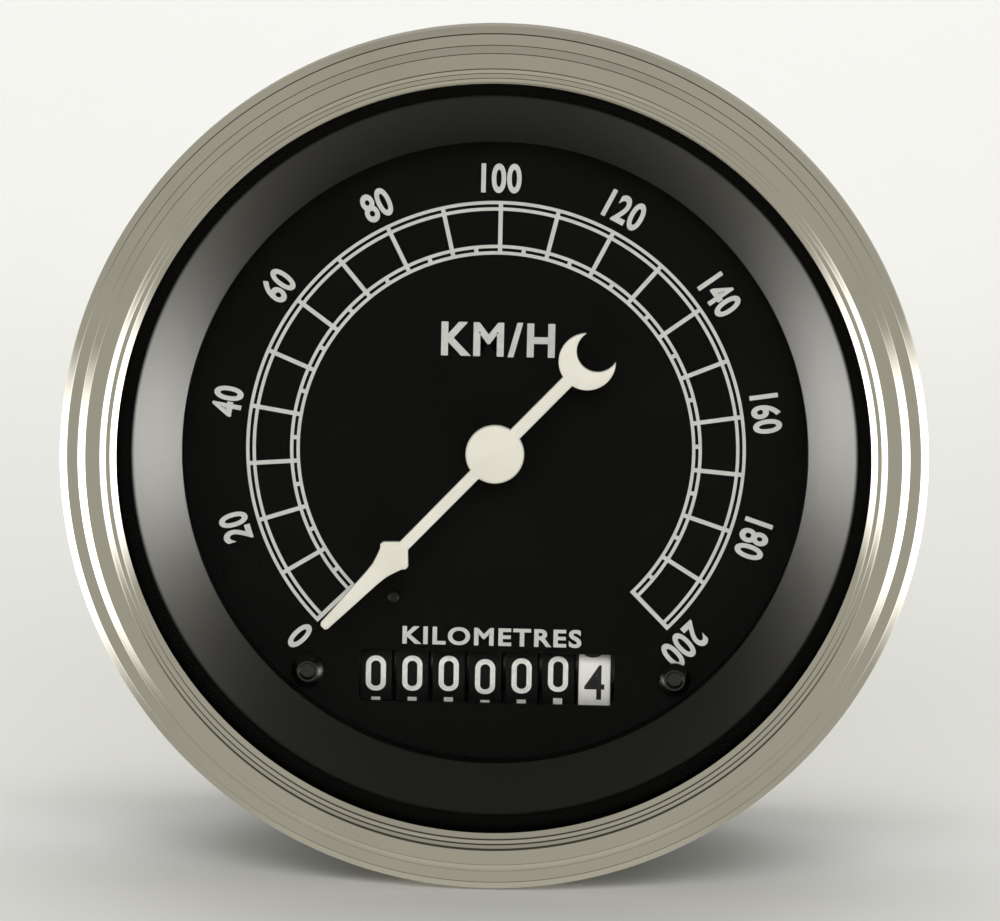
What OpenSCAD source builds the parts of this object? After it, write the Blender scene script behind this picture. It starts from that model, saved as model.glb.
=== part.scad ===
// Cable-driven car speedometer with a seven-drum odometer, for a round hole in a dashboard.
// Every piece is drawn looking at the dial: x to the right, y up, z towards the driver, and
// z = 0 is the plane where the bezel rests on the panel. facing() then stands the gauge up,
// so that the dial faces -Y and the origin is on the case axis, in the panel seat plane.

/* [Case] */
// Outside diameter of the case barrel, which goes through the panel hole
case_od = 84.8; // [84:0.2:104]
// Depth of the case behind the panel seat
case_depth = 55; // [54:0.5:80]
// Wall of the case barrel
case_wall = 0.8; // [0.6:0.1:1]
// Thickness of the case back
back_t = 1.2; // [1:0.1:1.8]

/* [Bezel and glass] */
// How far the bezel reaches past the case barrel, all round
bezel_overlap = 4.6; // [4.2:0.1:7]
// Total height of the bezel in front of the panel
bezel_h = 6.3; // [6:0.1:8]
// Thickness of the flat glass
glass_t = 1.6; // [1.2:0.1:2]
// Diameter of the dial seen inside the black visor ring
dial_view_d = 68; // [67.8:0.2:70]
// Height of the visor ring's inner edge above the dial
visor_edge_h = 3.6; // [2:0.1:4.4]

/* [Dial] */
// Depth of the dial face behind the panel seat
dial_depth = 4.1; // [3.6:0.1:5]
// Thickness of the dial plate
dial_t = 0.9; // [0.6:0.1:1.1]
// How far the odometer window reaches past the drums at each end
window_margin = 0; // [-0.5:0.1:0.3]
// Height of the odometer window
window_h = 5.7; // [4:0.1:7]
// How far the odometer window's centre lies below the drums' axis
window_drop = 0.6; // [-0.6:0.1:0.8]

/* [Pointer] */
// Reach of the pointer's tip from its axis
pointer_reach = 26.75; // [24:0.25:30]
// Height of the pointer's front face above the dial
pointer_lift = 4.5; // [3.5:0.1:5.5]
// Thickness of the pointer
pointer_t = 1; // [0.6:0.1:1.4]
// Diameter of the pointer's hub disc
hub_d = 6.4; // [5:0.1:9]

/* [Odometer] */
// Distance from one number drum to the next
drum_pitch = 4; // [3.8:0.05:4.05]
// Outside diameter of a number drum
drum_d = 15.3; // [15:0.1:16]
// Slit between the rims of neighbouring drums
drum_slit = 0.5; // [0.46:0.01:0.6]
// Thickness of a pinion carrier plate
carrier_t = 0.3; // [0.2:0.02:0.34]
// Diameter of the odometer axle
axle_d = 2.4; // [2:0.1:2.6]

/* [Worm drives] */
// Pitch diameter of the three worms
worm_pitch_d = 6.4; // [6:0.1:7]
// Module of the worm wheels, whose teeth and worm threads it sizes
worm_module = 1; // [0.9:0.02:1.05]
// Teeth on each worm wheel
worm_teeth = 10; // [10:1:10]
// Width of a worm wheel
wheel_w = 2; // [1.6:0.1:2.6]
// Play between a thread and a tooth, measured on the pitch line
backlash = 0.24; // [0.2:0.02:0.4]

/* [Speed movement] */
// Outside diameter of the ring magnet
magnet_d = 17; // [14:0.5:18]
// Length of the ring magnet
magnet_h = 6; // [4:0.5:6.4]
// Air gap between the magnet and the aluminium drag cup
cup_gap = 1.4; // [0.9:0.1:2]
// Air gap between the drag cup and the steel return cup
return_gap = 1.3; // [0.8:0.1:2]
// Diameter of the pointer spindle
spindle_d = 1.4; // [1.2:0.1:1.8]
// Diameter of the drive shaft
shaft_d = 3.2; // [2.8:0.1:3.4]
// Turns of the hairspring
spring_turns = 4; // [3:1:5]

/* [Cable connection] */
// Outside diameter of the spigot that takes the cable's union nut
spigot_d = 15.88; // [15:0.02:19]
// Length of the spigot behind the case
spigot_h = 13; // [10:0.5:20]
// Width of the square socket for the inner cable
socket_w = 2.64; // [2.4:0.02:3]

/* [Clamp bracket] */
// Distance of each mounting stud from the case axis
stud_x = 26; // [22:0.5:30]
// Diameter of a mounting stud
stud_d = 5; // [4:0.5:6]
// Gap for the panel between the bezel and the bracket's feet
panel_gap = 6; // [5:0.5:12]
// Thickness of the bracket's strap
strap_t = 2; // [1.6:0.1:2.2]
// Width of the bracket's strap
strap_w = 16; // [12:1:20]

/* [Hidden] */
$fn = 96;

// Clearances: a shaft in its bearing, and pieces that only pass each other
run_gap = 0.05;
part_gap = 0.3;

// Radii of the case, the bezel and what lies under the bezel
case_r = case_od / 2;
case_in_r = case_r - case_wall;
bezel_r = case_r + bezel_overlap;
bezel_wall = 2;
sight_r = case_r - 1.6;
seat_r = bezel_r - bezel_wall - part_gap;
view_r = dial_view_d / 2;
visor_top_r = sight_r - 1.6;

// The stack between the panel and the bezel's lip, back to front
crimp_t = 0.6;
flange_t = 0.8;
visor_t = 0.8;
skirt_t = 0.8;
gasket_t = 0.8;
flange_z = crimp_t;
visor_z = flange_z + flange_t;
gasket_z = visor_z + visor_t;
glass_z = gasket_z + gasket_t;
lip_z = glass_z + glass_t;

// Depths from the dial back: bridge, hairspring, magnet and its cups, worms, base plate, case back
dial_z = -dial_depth;
dial_back_z = dial_z - dial_t;
dial_r = case_in_r - 1;
bridge_t = 1.8;
bridge_z = dial_back_z - 4.2;
odo_z = dial_back_z - part_gap - 0.55 - drum_d / 2;
spring_z = bridge_z - 4.8;
cup_floor_z = bridge_z - 8.2;
shaft_front_z = cup_floor_z - 2.4;
magnet_z = shaft_front_z - 0.4 - magnet_h;
return_cup_wall = 1.2;
return_cup_z = magnet_z - 1.4 - return_cup_wall;
worm_z = return_cup_z - 6.7;
plate_t = 3;
plate_z = worm_z - 7.5 - plate_t;
back_z = -case_depth;
floor_z = back_z + back_t;

// Worm stages: equal centre distances put every shaft on the line down to the odometer
wheel_r = worm_module * worm_teeth / 2;
worm_r = worm_pitch_d / 2;
stage = wheel_r + worm_r;
tooth_add = 0.75 * worm_module;
tooth_ded = 1.05 * worm_module;
worm_lead = PI * worm_module;
lead_angle = atan(worm_lead / (2 * PI * worm_r));
side_shaft_r = 1.2;
cross_y = -stage;
long_y = -2 * stage;
odo_y = -3 * stage;

// Odometer train: drum places, internal gear and transfer pinions
drums = 7;
digits = [0, 0, 0, 0, 0, 0, 3.9];
drums_mid_x = -0.7;
first_x = drums_mid_x - (drums - 1) / 2 * drum_pitch;
last_x = first_x + (drums - 1) * drum_pitch;
rim_w = drum_pitch - drum_slit;
web_t = 0.7;
drum_hub_r = axle_d / 2 + 0.5;
gear_module = 0.6;
gear_teeth = 20;
pinion_teeth = 6;
gear_r = gear_module * gear_teeth / 2;
pinion_r = gear_module * pinion_teeth / 2;
pinion_y = gear_r - pinion_r;
pinion_tip_r = pinion_r + 0.5;
pinion_core_r = pinion_r - 0.6;
gear_root_r = gear_r + 0.65;
gear_tip_r = gear_r - 0.5;
rod_r = 0.8;
rod_back = drum_d / 2 + 2.85;
train_x = last_x + drum_pitch / 2 + worm_r + tooth_add + 0.75;
bracket_t = 1.2;
left_bracket_x = first_x - drum_pitch / 2 - 2.3;
right_bracket_x = train_x + worm_r + tooth_add + 0.6;

// Pointer and movement: depths along the main axis
pointer_z = dial_z + pointer_lift - pointer_t;
spindle_r = spindle_d / 2;
shaft_r = shaft_d / 2;
drag_cup_wall = 0.6;
drag_cup_r = magnet_d / 2 + cup_gap + drag_cup_wall;
return_cup_r = drag_cup_r + return_gap + return_cup_wall;
collet_r = 1.6;
zero_angle = 225;
rest_angle = zero_angle - 1.6;
screw_x = 20.1;
screw_y = -24.8;
ear_t = 1.2;
pin_r = 0.7;
pin_at = [-10.7, -15.9];
pillars = [[-19.5, 2], [19.5, 2], [0, 19.5]];
frame_screw_at = [[-14, -14], [14, 14]];
lamp_at = [24, 21.5];
lamp_r = 5.5;

// Cable spigot, drive shaft head and the clamp bracket behind the case
spigot_end = back_z - spigot_h;
ferrule_r = 5.5;
ferrule_h = 6;
head_r = 2.5;
head_z = spigot_end + ferrule_h;
bush_r = 4;
bush_z = floor_z + 1.8;
strap_z = back_z - 6 - strap_t;
nut_room_r = spigot_d / 2 + 4.6;
arm_gap = 0.9;
arm_x = case_r + arm_gap;
stud_r = stud_d / 2;
nut_h = 5.2;
stud_end = strap_z - nut_h - 12;

// Frames: the standing gauge, and a shaft along x or z with the piece's own x turned up
module facing() rotate([90, 0, 0]) children();
module along_x(x, y, z) translate([x, y, z]) rotate([90, 0, 90]) children();
module along_z(x, y, z) translate([x, y, z]) rotate([0, 0, 90]) children();

module rod(r, z0, z1, at = [0, 0]) translate([at[0], at[1], z0]) cylinder(r = r, h = z1 - z0);
module tube(r_out, r_in, z0, z1, at = [0, 0]) difference() {
    rod(r_out, z0, z1, at);
    rod(r_in, z0 - 1, z1 + 1, at);
}
module block(x0, x1, y0, y1, z0, z1) translate([x0, y0, z0]) cube([x1 - x0, y1 - y0, z1 - z0]);
module round_window(w, h, r, t) {
    translate([-w / 2 + r, -h / 2, 0]) cube([w - 2 * r, h, t]);
    translate([-w / 2, -h / 2 + r, 0]) cube([w, h - 2 * r, t]);
    for (sx = [-1, 1], sy = [-1, 1])
        translate([sx * (w / 2 - r), sy * (h / 2 - r), 0]) cylinder(r = r, h = t);
}
function arc(c, r, from, to, steps) = [for (i = [0:steps])
    let (a = from + (to - from) * i / steps) [c[0] + r * cos(a), c[1] + r * sin(a)]];

// Bezel: a stepped ring with two flats, a dip and a fine lip, crimped round the case flange
module bezel() color("silver") facing() {
    outer_flat_z = bezel_h - 0.9;
    edge_r = 0.9;
    step_r = 0.35;
    rotate_extrude() polygon(concat(
        [[case_r + 1, 0], [bezel_r - 0.5, 0], [bezel_r, 0.5]],
        arc([bezel_r - edge_r, outer_flat_z - edge_r], edge_r, 0, 90, 6),
        [[bezel_r - 2.2, outer_flat_z]],
        arc([bezel_r - 3.1, bezel_h - step_r], step_r, 40, 90, 4),
        arc([sight_r + 1.65, bezel_h - step_r], step_r, 90, 140, 4),
        [[sight_r + 0.8, lip_z + 0.9]],
        arc([sight_r + 0.3, lip_z + 0.9], 0.3, 0, 180, 6),
        [[sight_r, lip_z], [bezel_r - bezel_wall, lip_z], [bezel_r - bezel_wall, crimp_t],
         [case_r + 1, crimp_t]]));
}
module lens() color("lightcyan", 0.3) facing() rod(seat_r, glass_z, lip_z);
module lens_gasket() color("#1c1c1c") facing() tube(seat_r, sight_r + 0.6, gasket_z, glass_z);

// Visor: a black ring that slopes in from under the glass, with a straight skirt down to the dial
module visor() color("#181818") facing() {
    foot_z = dial_z + part_gap;
    edge_z = dial_z + visor_edge_h;
    rise = (gasket_z - edge_z) / (visor_top_r - view_r);
    rotate_extrude() polygon([
        [seat_r, visor_z], [seat_r, gasket_z], [visor_top_r, gasket_z], [view_r, edge_z],
        [view_r, foot_z], [view_r + skirt_t, foot_z],
        [view_r + skirt_t, edge_z - visor_t + skirt_t * rise],
        [view_r + (visor_z - edge_z + visor_t) / rise, visor_z]]);
}

// Dial plate with its odometer window, and the two screws and the stop pin that it carries
module dial() color("#141414") facing() difference() {
    rod(dial_r, dial_back_z, dial_z);
    rod(2.6, dial_back_z - 1, dial_z + 1);
    for (sx = [-1, 1]) rod(1.1, dial_back_z - 1, dial_z + 1, [sx * screw_x, screw_y]);
    rod(pin_r, dial_back_z - 1, dial_z + 1, pin_at);
    translate([drums_mid_x + 0.2, odo_y - window_drop, dial_back_z - 1])
        round_window(drums * drum_pitch + 2 * window_margin, window_h, 0.6, dial_t + 2);
}
module dial_screw(side) color("#202020") facing() {
    head_h = 1.2;
    difference() {
        rod(1.8, dial_z, dial_z + head_h, [side * screw_x, screw_y]);
        for (a = [0, 90]) translate([side * screw_x, screw_y, dial_z + head_h])
            rotate(a + 20) cube([2, 0.5, 1.4], center = true);
    }
    rod(1, dial_back_z - ear_t - 0.8, dial_z, [side * screw_x, screw_y]);
}
module stop_pin() color("#202020") facing() {
    rod(pin_r, dial_back_z, pointer_z + pointer_t - 0.2, pin_at);
    rod(1.2, dial_back_z - 1, dial_back_z, pin_at);
}

// Case: a drawn can with a flange that the bezel holds, and holes in its back
module case() color("#5b5e60") facing() difference() {
    rotate_extrude() polygon([
        [0, back_z], [case_r - 1, back_z], [case_r, back_z + 1], [case_r, flange_z],
        [seat_r, flange_z], [seat_r, visor_z], [case_in_r, visor_z], [case_in_r, floor_z],
        [0, floor_z]]);
    rod(spigot_d / 2 + 1.3, back_z - 1, floor_z + 1);
    for (sx = [-1, 1]) {
        rod(stud_r, back_z - 1, floor_z + 1, [sx * stud_x, 0]);
        rod(lamp_r, back_z - 1, floor_z + 1, [sx * lamp_at[0], lamp_at[1]]);
    }
    for (at = frame_screw_at) rod(1.6, back_z - 1, floor_z + 1, at);
}

// Spigot for the cable's union nut: flange inside the case, ferrule bore at the rear
module cable_spigot() color("#b9a97c") facing() difference() {
    union() {
        rod(spigot_d / 2, spigot_end, floor_z);
        rod(spigot_d / 2 + 1.2, back_z - 1, floor_z);
        rod(spigot_d / 2 + 3, floor_z, floor_z + 1.5);
    }
    rod(ferrule_r, spigot_end - 1, head_z);
    rod(head_r + 0.4, head_z - 1, floor_z + 3);
}

// Die-cast base: plate, centre boss, three bridge pillars and the cross shaft's bearings
module base_frame() color("#9a9c9b") facing() difference() {
    union() {
        rod(26, plate_z, plate_z + plate_t);
        block(left_bracket_x - 3, right_bracket_x + 1.5, -32, 0, plate_z, plate_z + plate_t);
        block(0, train_x + 10, cross_y - 5, cross_y + 5, plate_z, plate_z + plate_t);
        rod(12, floor_z + 1.5, plate_z);
        for (at = frame_screw_at) rod(3.5, floor_z, plate_z, at);
        for (at = pillars) rod(2.6, plate_z, bridge_z, at);
        for (x = [-8.5, 6, train_x + 6.4])
            block(x, x + 2.4, cross_y - 3, cross_y + 3, plate_z, worm_z + 2.8);
    }
    rod(bush_r, floor_z, plate_z + plate_t + 1);
    for (at = frame_screw_at) rod(1.5, floor_z - 1, floor_z + 5, at);
    for (at = pillars) rod(1, bridge_z - 6, bridge_z + 1, at);
    rod(side_shaft_r + run_gap, plate_z + 1, plate_z + plate_t + 1, [train_x, long_y]);
    along_x(-10, cross_y, worm_z) cylinder(r = side_shaft_r + run_gap, h = train_x + 22);
}
module rear_bush() color("#a5793c") facing()
    tube(bush_r, shaft_r + run_gap, bush_z, plate_z + plate_t + 1);

// Front bridge: carries the spindle bush and the front end of the long shaft
module front_bridge() color("#c0b27a") facing() difference() {
    union() {
        rod(6, bridge_z, bridge_z + bridge_t);
        for (at = concat(pillars, [[train_x, long_y]])) {
            rod(3.2, bridge_z, bridge_z + bridge_t, at);
            translate([0, 0, bridge_z]) rotate(atan2(at[1], at[0]))
                translate([0, -2.2, 0]) cube([norm(at), 4.4, bridge_t]);
        }
    }
    rod(2.2, bridge_z - 1, bridge_z + bridge_t + 1);
    for (at = pillars) rod(1.1, bridge_z - 1, bridge_z + bridge_t + 1, at);
    rod(1 + run_gap, bridge_z - 1, bridge_z + bridge_t + 1, [train_x, long_y]);
}
module spindle_bush() color("#a5793c") facing()
    tube(2.2, spindle_r + run_gap, bridge_z - 1.2, bridge_z + bridge_t + 0.4);
module bridge_screws() color("#8f8f8b") facing() for (at = pillars) {
    rod(1, bridge_z - 5, bridge_z + bridge_t, at);
    difference() {
        rod(2, bridge_z + bridge_t, bridge_z + bridge_t + 1.2, at);
        translate([at[0], at[1], bridge_z + bridge_t + 1.2]) cube([5, 0.5, 1], center = true);
    }
}
module frame_screws() color("#8f8f8b") facing() for (at = frame_screw_at) {
    rod(1.5, back_z, floor_z + 4, at);
    difference() {
        rod(3, back_z - 2, back_z, at);
        translate([at[0], at[1], back_z - 2]) cube([7, 0.8, 1.6], center = true);
    }
}

// Hairspring: a flat spiral from the collet out to the post of the regulator
spring_half_t = 0.08;
spring_in_r = collet_r + run_gap + spring_half_t;
spring_out_r = 6.8;
spring_end_angle = 200;
function spring_point(turn, side) =
    let (a = spring_end_angle - 360 * (spring_turns - turn),
         r = spring_in_r + (spring_out_r - spring_in_r) * turn / spring_turns + side * spring_half_t)
    [r * cos(a), r * sin(a)];
module hairspring() color("#b98b4a") facing() {
    steps = 24 * spring_turns;
    translate([0, 0, spring_z - 0.4]) linear_extrude(0.8) polygon(concat(
        [for (i = [0:steps]) spring_point(spring_turns * i / steps, 1)],
        [for (i = [steps:-1:0]) spring_point(spring_turns * i / steps, -1)]));
}
module regulator() color("#8f8f8b") facing() {
    post_r = 0.9;
    reach = spring_out_r + spring_half_t + post_r;
    tube(3.6, 2.2, bridge_z - 1, bridge_z);
    rotate(spring_end_angle) {
        difference() {
            block(0, reach, -1, 1, bridge_z - 1, bridge_z);
            rod(3, bridge_z - 2, bridge_z + 1);
        }
        rod(post_r, spring_z - 0.6, bridge_z, [reach, 0]);
    }
}

// Drive line: square-socket shaft, first worm, ring magnet and the steel cup behind it
module drive_shaft() color("#b5b8ba") facing() difference() {
    union() {
        rod(head_r, head_z, bush_z - 0.1);
        rod(shaft_r, head_z, shaft_front_z);
        rod(2.4, plate_z + plate_t + 1.1, worm_z - 1.5 * worm_lead);
    }
    translate([-socket_w / 2, -socket_w / 2, head_z - 1]) cube([socket_w, socket_w, 9]);
    rod(0.5, shaft_front_z - 3, shaft_front_z + 1);
}
module magnet() color("#3c3c3e") facing()
    tube(magnet_d / 2, shaft_r, magnet_z, magnet_z + magnet_h);
module return_cup() color("#8a8d8f") facing() {
    inside_z = return_cup_z + return_cup_wall;
    difference() {
        rod(return_cup_r, return_cup_z, cup_floor_z - 0.1);
        rod(return_cup_r - return_cup_wall, inside_z, cup_floor_z + 1);
        rod(shaft_r, return_cup_z - 1, inside_z + 1);
    }
    tube(3.4, shaft_r, inside_z, magnet_z);
}

// Worm thread: its cross-section for one turn of lead, from the axial tooth profile
function thread_radius(angle) =
    let (off = abs(angle) / 360 * worm_lead,
         half = worm_lead / 4 - backlash / 4,
         rise = (half - off) / tan(20))
    worm_r + min(tooth_add, max(-tooth_ded, rise));
module worm(turns, bore_r) {
    step = 18;
    difference() {
        translate([0, 0, -turns * worm_lead / 2])
            linear_extrude(height = turns * worm_lead, twist = -360 * turns, slices = 18 * turns, $fn = 20)
                rotate(-180 * turns)
                    polygon([for (a = [-180:step:179]) thread_radius(a) * [cos(a), sin(a)]]);
        cylinder(r = bore_r, h = 40, center = true, $fn = 32);
    }
}

// Worm wheel: teeth of involute width at each radius, leaning with the thread
function involute(r) = let (a = acos(min(1, wheel_r * cos(20) / r))) tan(a) * 180 / PI - a;
function tooth_half(r) =
    r * sin(90 / worm_teeth + involute(wheel_r) - involute(r)) - backlash / 4;
module worm_wheel(bore_r, hub_r, hub_w) {
    root_r = wheel_r - tooth_ded;
    base_r = wheel_r * cos(20);
    widths = [[root_r - 0.6, 0.5 * worm_module], [root_r + 0.1, 0.5 * worm_module],
              [base_r, tooth_half(base_r)], [wheel_r, tooth_half(wheel_r)],
              [wheel_r + tooth_add, tooth_half(wheel_r + tooth_add)]];
    difference() {
        union() {
            cylinder(r = root_r, h = wheel_w, center = true);
            cylinder(r = hub_r, h = hub_w, center = true);
            intersection() {
                for (k = [0:worm_teeth - 1]) rotate(k * 360 / worm_teeth) rotate([-lead_angle, 0, 0])
                    linear_extrude(wheel_w + 2, center = true) polygon(concat(
                        [for (w = widths) [w[0], w[1]]],
                        [for (i = [len(widths) - 1:-1:0]) [widths[i][0], -widths[i][1]]]));
                cylinder(r = wheel_r + tooth_add, h = wheel_w, center = true);
            }
        }
        cylinder(r = bore_r, h = 40, center = true);
    }
}
module drive_worm() color("#d8d2bd") facing()
    along_z(0, 0, worm_z) worm(3, shaft_r + run_gap);
module cross_shaft() color("#b5b8ba") facing()
    along_x(-8.3, cross_y, worm_z) cylinder(r = side_shaft_r, h = train_x + 16.9);
module cross_wheel() color("#e8e4d6") facing()
    along_x(0, cross_y, worm_z) worm_wheel(side_shaft_r + run_gap, 2.6, 6);
module cross_worm() color("#e8e4d6") facing()
    along_x(train_x, cross_y, worm_z) worm(3, side_shaft_r + run_gap);
module long_shaft() color("#b5b8ba") facing() {
    rod(side_shaft_r, plate_z + 1.2, bridge_z - 0.2, [train_x, long_y]);
    rod(1, bridge_z - 0.2, bridge_z + bridge_t + 0.2, [train_x, long_y]);
}
module long_wheel() color("#e8e4d6") facing()
    along_z(train_x, long_y, worm_z) worm_wheel(side_shaft_r + run_gap, 2.6, 6);
module long_worm() color("#e8e4d6") facing()
    along_z(train_x, long_y, odo_z) worm(2.5, side_shaft_r + run_gap);
module tenths_gear() color("#e8e4d6") facing() {
    along_x(train_x, odo_y, odo_z) worm_wheel(axle_d / 2 + run_gap, 2.3, 2);
    from_x = last_x + drum_pitch / 2 - drum_slit / 2 + 0.05;
    along_x(from_x, odo_y, odo_z) difference() {
        union() {
            cylinder(r = drum_hub_r + 0.5, h = train_x - 1 - from_x);
            translate([0, 0, train_x + 1 - from_x])
                cylinder(r = drum_hub_r + 0.5, h = right_bracket_x - 0.1 - train_x - 1);
        }
        translate([0, 0, -1]) cylinder(r = axle_d / 2 + run_gap, h = 20);
    }
}

// Number drum: rim and web, a 20-space gear inside its right side, a lock ring inside its
// left side with the three spaces that let two pinion teeth through once a turn
module gear_space(angle, z0, z1) rotate(angle) translate([0, 0, z0]) linear_extrude(z1 - z0)
    polygon([[gear_tip_r - 0.3, 0.66], [gear_root_r, 0.36], [gear_root_r, -0.36],
             [gear_tip_r - 0.3, -0.66]]);
module drum(index) {
    notch = 270 - 18 - 36 * digits[index];
    lock_r = gear_r;
    color(index == drums - 1 ? "#e9e7de" : "#161616") facing()
        along_x(first_x + index * drum_pitch, odo_y, odo_z) difference() {
            union() {
                tube(drum_d / 2, gear_root_r, -rim_w / 2, rim_w / 2);
                rod(gear_root_r, -web_t / 2, web_t / 2);
                rod(drum_hub_r, -rim_w / 2 - 0.05, rim_w / 2 + 0.05);
                tube(gear_root_r, gear_tip_r, 0, rim_w / 2);
                tube(gear_root_r, lock_r, -rim_w / 2, 0);
            }
            rod(axle_d / 2 + run_gap, -rim_w, rim_w);
            for (k = [0:gear_teeth - 1])
                gear_space(270 + 360 * k / gear_teeth, web_t / 2, rim_w);
            for (k = [-1:1]) gear_space(notch + 360 * k / gear_teeth, -rim_w, -web_t / 2);
        }
}

// Transfer pinion: six teeth on its left, the three long ones alone on its right
module pinion_tooth(angle, z0, z1) rotate(angle) translate([0, 0, z0]) linear_extrude(z1 - z0)
    polygon([[0, 0.44], [pinion_core_r, 0.44], [pinion_r, 0.34], [pinion_tip_r, 0.16],
             [pinion_tip_r, -0.16], [pinion_r, -0.34], [pinion_core_r, -0.44], [0, -0.44]]);
module pinion(index) color("#e8e4d6") facing()
    along_x(first_x + (index + 0.5) * drum_pitch, odo_y, odo_z) translate([0, -pinion_y, 0]) {
        reach = (drum_pitch - web_t) / 2 - 0.15;
        side = carrier_t / 2 + 0.05;
        rod(1, -side, side);
        rod(pinion_core_r, -reach, -side);
        rod(pinion_core_r, side, reach);
        for (k = [0:5]) pinion_tooth(270 + 60 * k, -reach, -side);
        for (k = [-1:1]) pinion_tooth(90 + 120 * k, side, reach);
    }
module carriers() color("#a9abab") facing() for (k = [0:drums - 2])
    along_x(first_x + (k + 0.5) * drum_pitch, odo_y, odo_z) difference() {
        union() {
            rod(drum_hub_r + 0.7, -carrier_t / 2, carrier_t / 2);
            block(-1.9, 1.9, -rod_back, 0, -carrier_t / 2, carrier_t / 2);
            rod(1.9, -carrier_t / 2, carrier_t / 2, [0, -rod_back]);
        }
        rod(axle_d / 2, -1, 1);
        rod(1 + run_gap, -1, 1, [0, -pinion_y]);
        rod(rod_r, -1, 1, [0, -rod_back]);
    }
module odo_axle() color("#b5b8ba") facing() {
    left = left_bracket_x - bracket_t;
    along_x(left, odo_y, odo_z)
        cylinder(r = axle_d / 2, h = right_bracket_x + bracket_t - left);
    along_x(left_bracket_x, odo_y, odo_z)
        tube(drum_hub_r, axle_d / 2, 0, first_x - rim_w / 2 - 0.1 - left_bracket_x);
}
module carrier_rod() color("#b5b8ba") facing() {
    left = left_bracket_x - bracket_t;
    along_x(left, odo_y, odo_z - rod_back) cylinder(r = rod_r, h = right_bracket_x + bracket_t - left);
}

// Side bracket of the odometer: a standing plate, and a front ear for the dial screw
module odo_bracket(side) color("#a9abab") facing() {
    x = side < 0 ? left_bracket_x - bracket_t : right_bracket_x;
    ear = side < 0 ? [screw_x * side - 3, x + bracket_t] : [screw_x - 3, x + bracket_t];
    difference() {
        union() {
            block(x, x + bracket_t, odo_y - 6.4, odo_y + 2.1, plate_z + plate_t, dial_back_z);
            block(ear[0], ear[1], screw_y - 3.6, screw_y + 3.6, dial_back_z - ear_t, dial_back_z);
        }
        rod(1, dial_back_z - ear_t - 1, dial_back_z + 1, [side * screw_x, screw_y]);
        along_x(x - 1, odo_y, odo_z) cylinder(r = axle_d / 2, h = 4);
        along_x(x - 1, odo_y, odo_z - rod_back) cylinder(r = rod_r, h = 4);
    }
}

// Pointer: blade with an arrow head, and a tail that ends in an open jaw
module pointer() color("#e9e4cf") facing() rotate(90 - rest_angle) {
    hub_r = hub_d / 2;
    shoulder = 14.1;
    blade = 0.625;
    jaw = -14.3;
    translate([0, 0, pointer_z]) {
        linear_extrude(pointer_t) polygon(concat(
            [[0, -blade], [shoulder, -blade], [15.4, -1.96], [15.9, -1.96]],
            arc([20.6, -4.9], 4.3, 141, 110, 4),
            [[pointer_reach, -0.55], [pointer_reach, 0.55]],
            arc([20.6, 4.9], 4.3, -110, -141, 4),
            [[15.9, 1.96], [15.4, 1.96], [shoulder, blade], [0, blade]]));
        difference() {
            union() {
                translate([jaw, -0.7, 0]) cube([-jaw, 1.4, pointer_t]);
                translate([jaw, 0, 0]) cylinder(r = 3.12, h = pointer_t);
            }
            translate([jaw - 1.6, 0, -1]) cylinder(r = 2.27, h = pointer_t + 2);
            translate([jaw - 6.1, -4, -1]) cube([4, 8, pointer_t + 2]);
        }
        cylinder(r = hub_r, h = pointer_t);
    }
    tube(1.8, spindle_r + run_gap, dial_z + 0.6, pointer_z);
}
module spindle() color("#b0905a") facing() {
    rod(0.45, shaft_front_z - 2.6, shaft_front_z + 0.2);
    rod(spindle_r, shaft_front_z + 0.2, pointer_z);
    rod(collet_r, spring_z - 1.2, spring_z + 1.2);
}
module drag_cup() color("#c9ccce") facing() {
    outside_z = cup_floor_z + drag_cup_wall;
    difference() {
        rod(drag_cup_r, magnet_z - 0.4, outside_z);
        rod(drag_cup_r - drag_cup_wall, magnet_z - 1, cup_floor_z);
        rod(spindle_r, cup_floor_z - 1, outside_z + 1);
    }
    tube(2, spindle_r, outside_z, outside_z + 1);
}

// Lamp holder with its bulb and spade terminal, one each side of the case back
module lamp_holder(side) color("#2a2a2c") facing() translate([side * lamp_at[0], lamp_at[1], 0])
    difference() {
        union() {
            rod(lamp_r, back_z, floor_z + 5);
            rod(lamp_r + 1.5, back_z - 2, back_z);
            rod(4.6, back_z - 7, back_z - 2);
            block(-3.15, 3.15, -0.4, 0.4, back_z - 14, back_z - 7);
        }
        rod(4.4, back_z + 2, floor_z + 6);
    }
module bulb(side) color("#f2eedd", 0.6) facing() {
    x = side * lamp_at[0];
    rod(4.2, back_z + 2, floor_z + 6, [x, lamp_at[1]]);
    translate([x, lamp_at[1], floor_z + 8.5]) sphere(r = 4.4);
}

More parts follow.
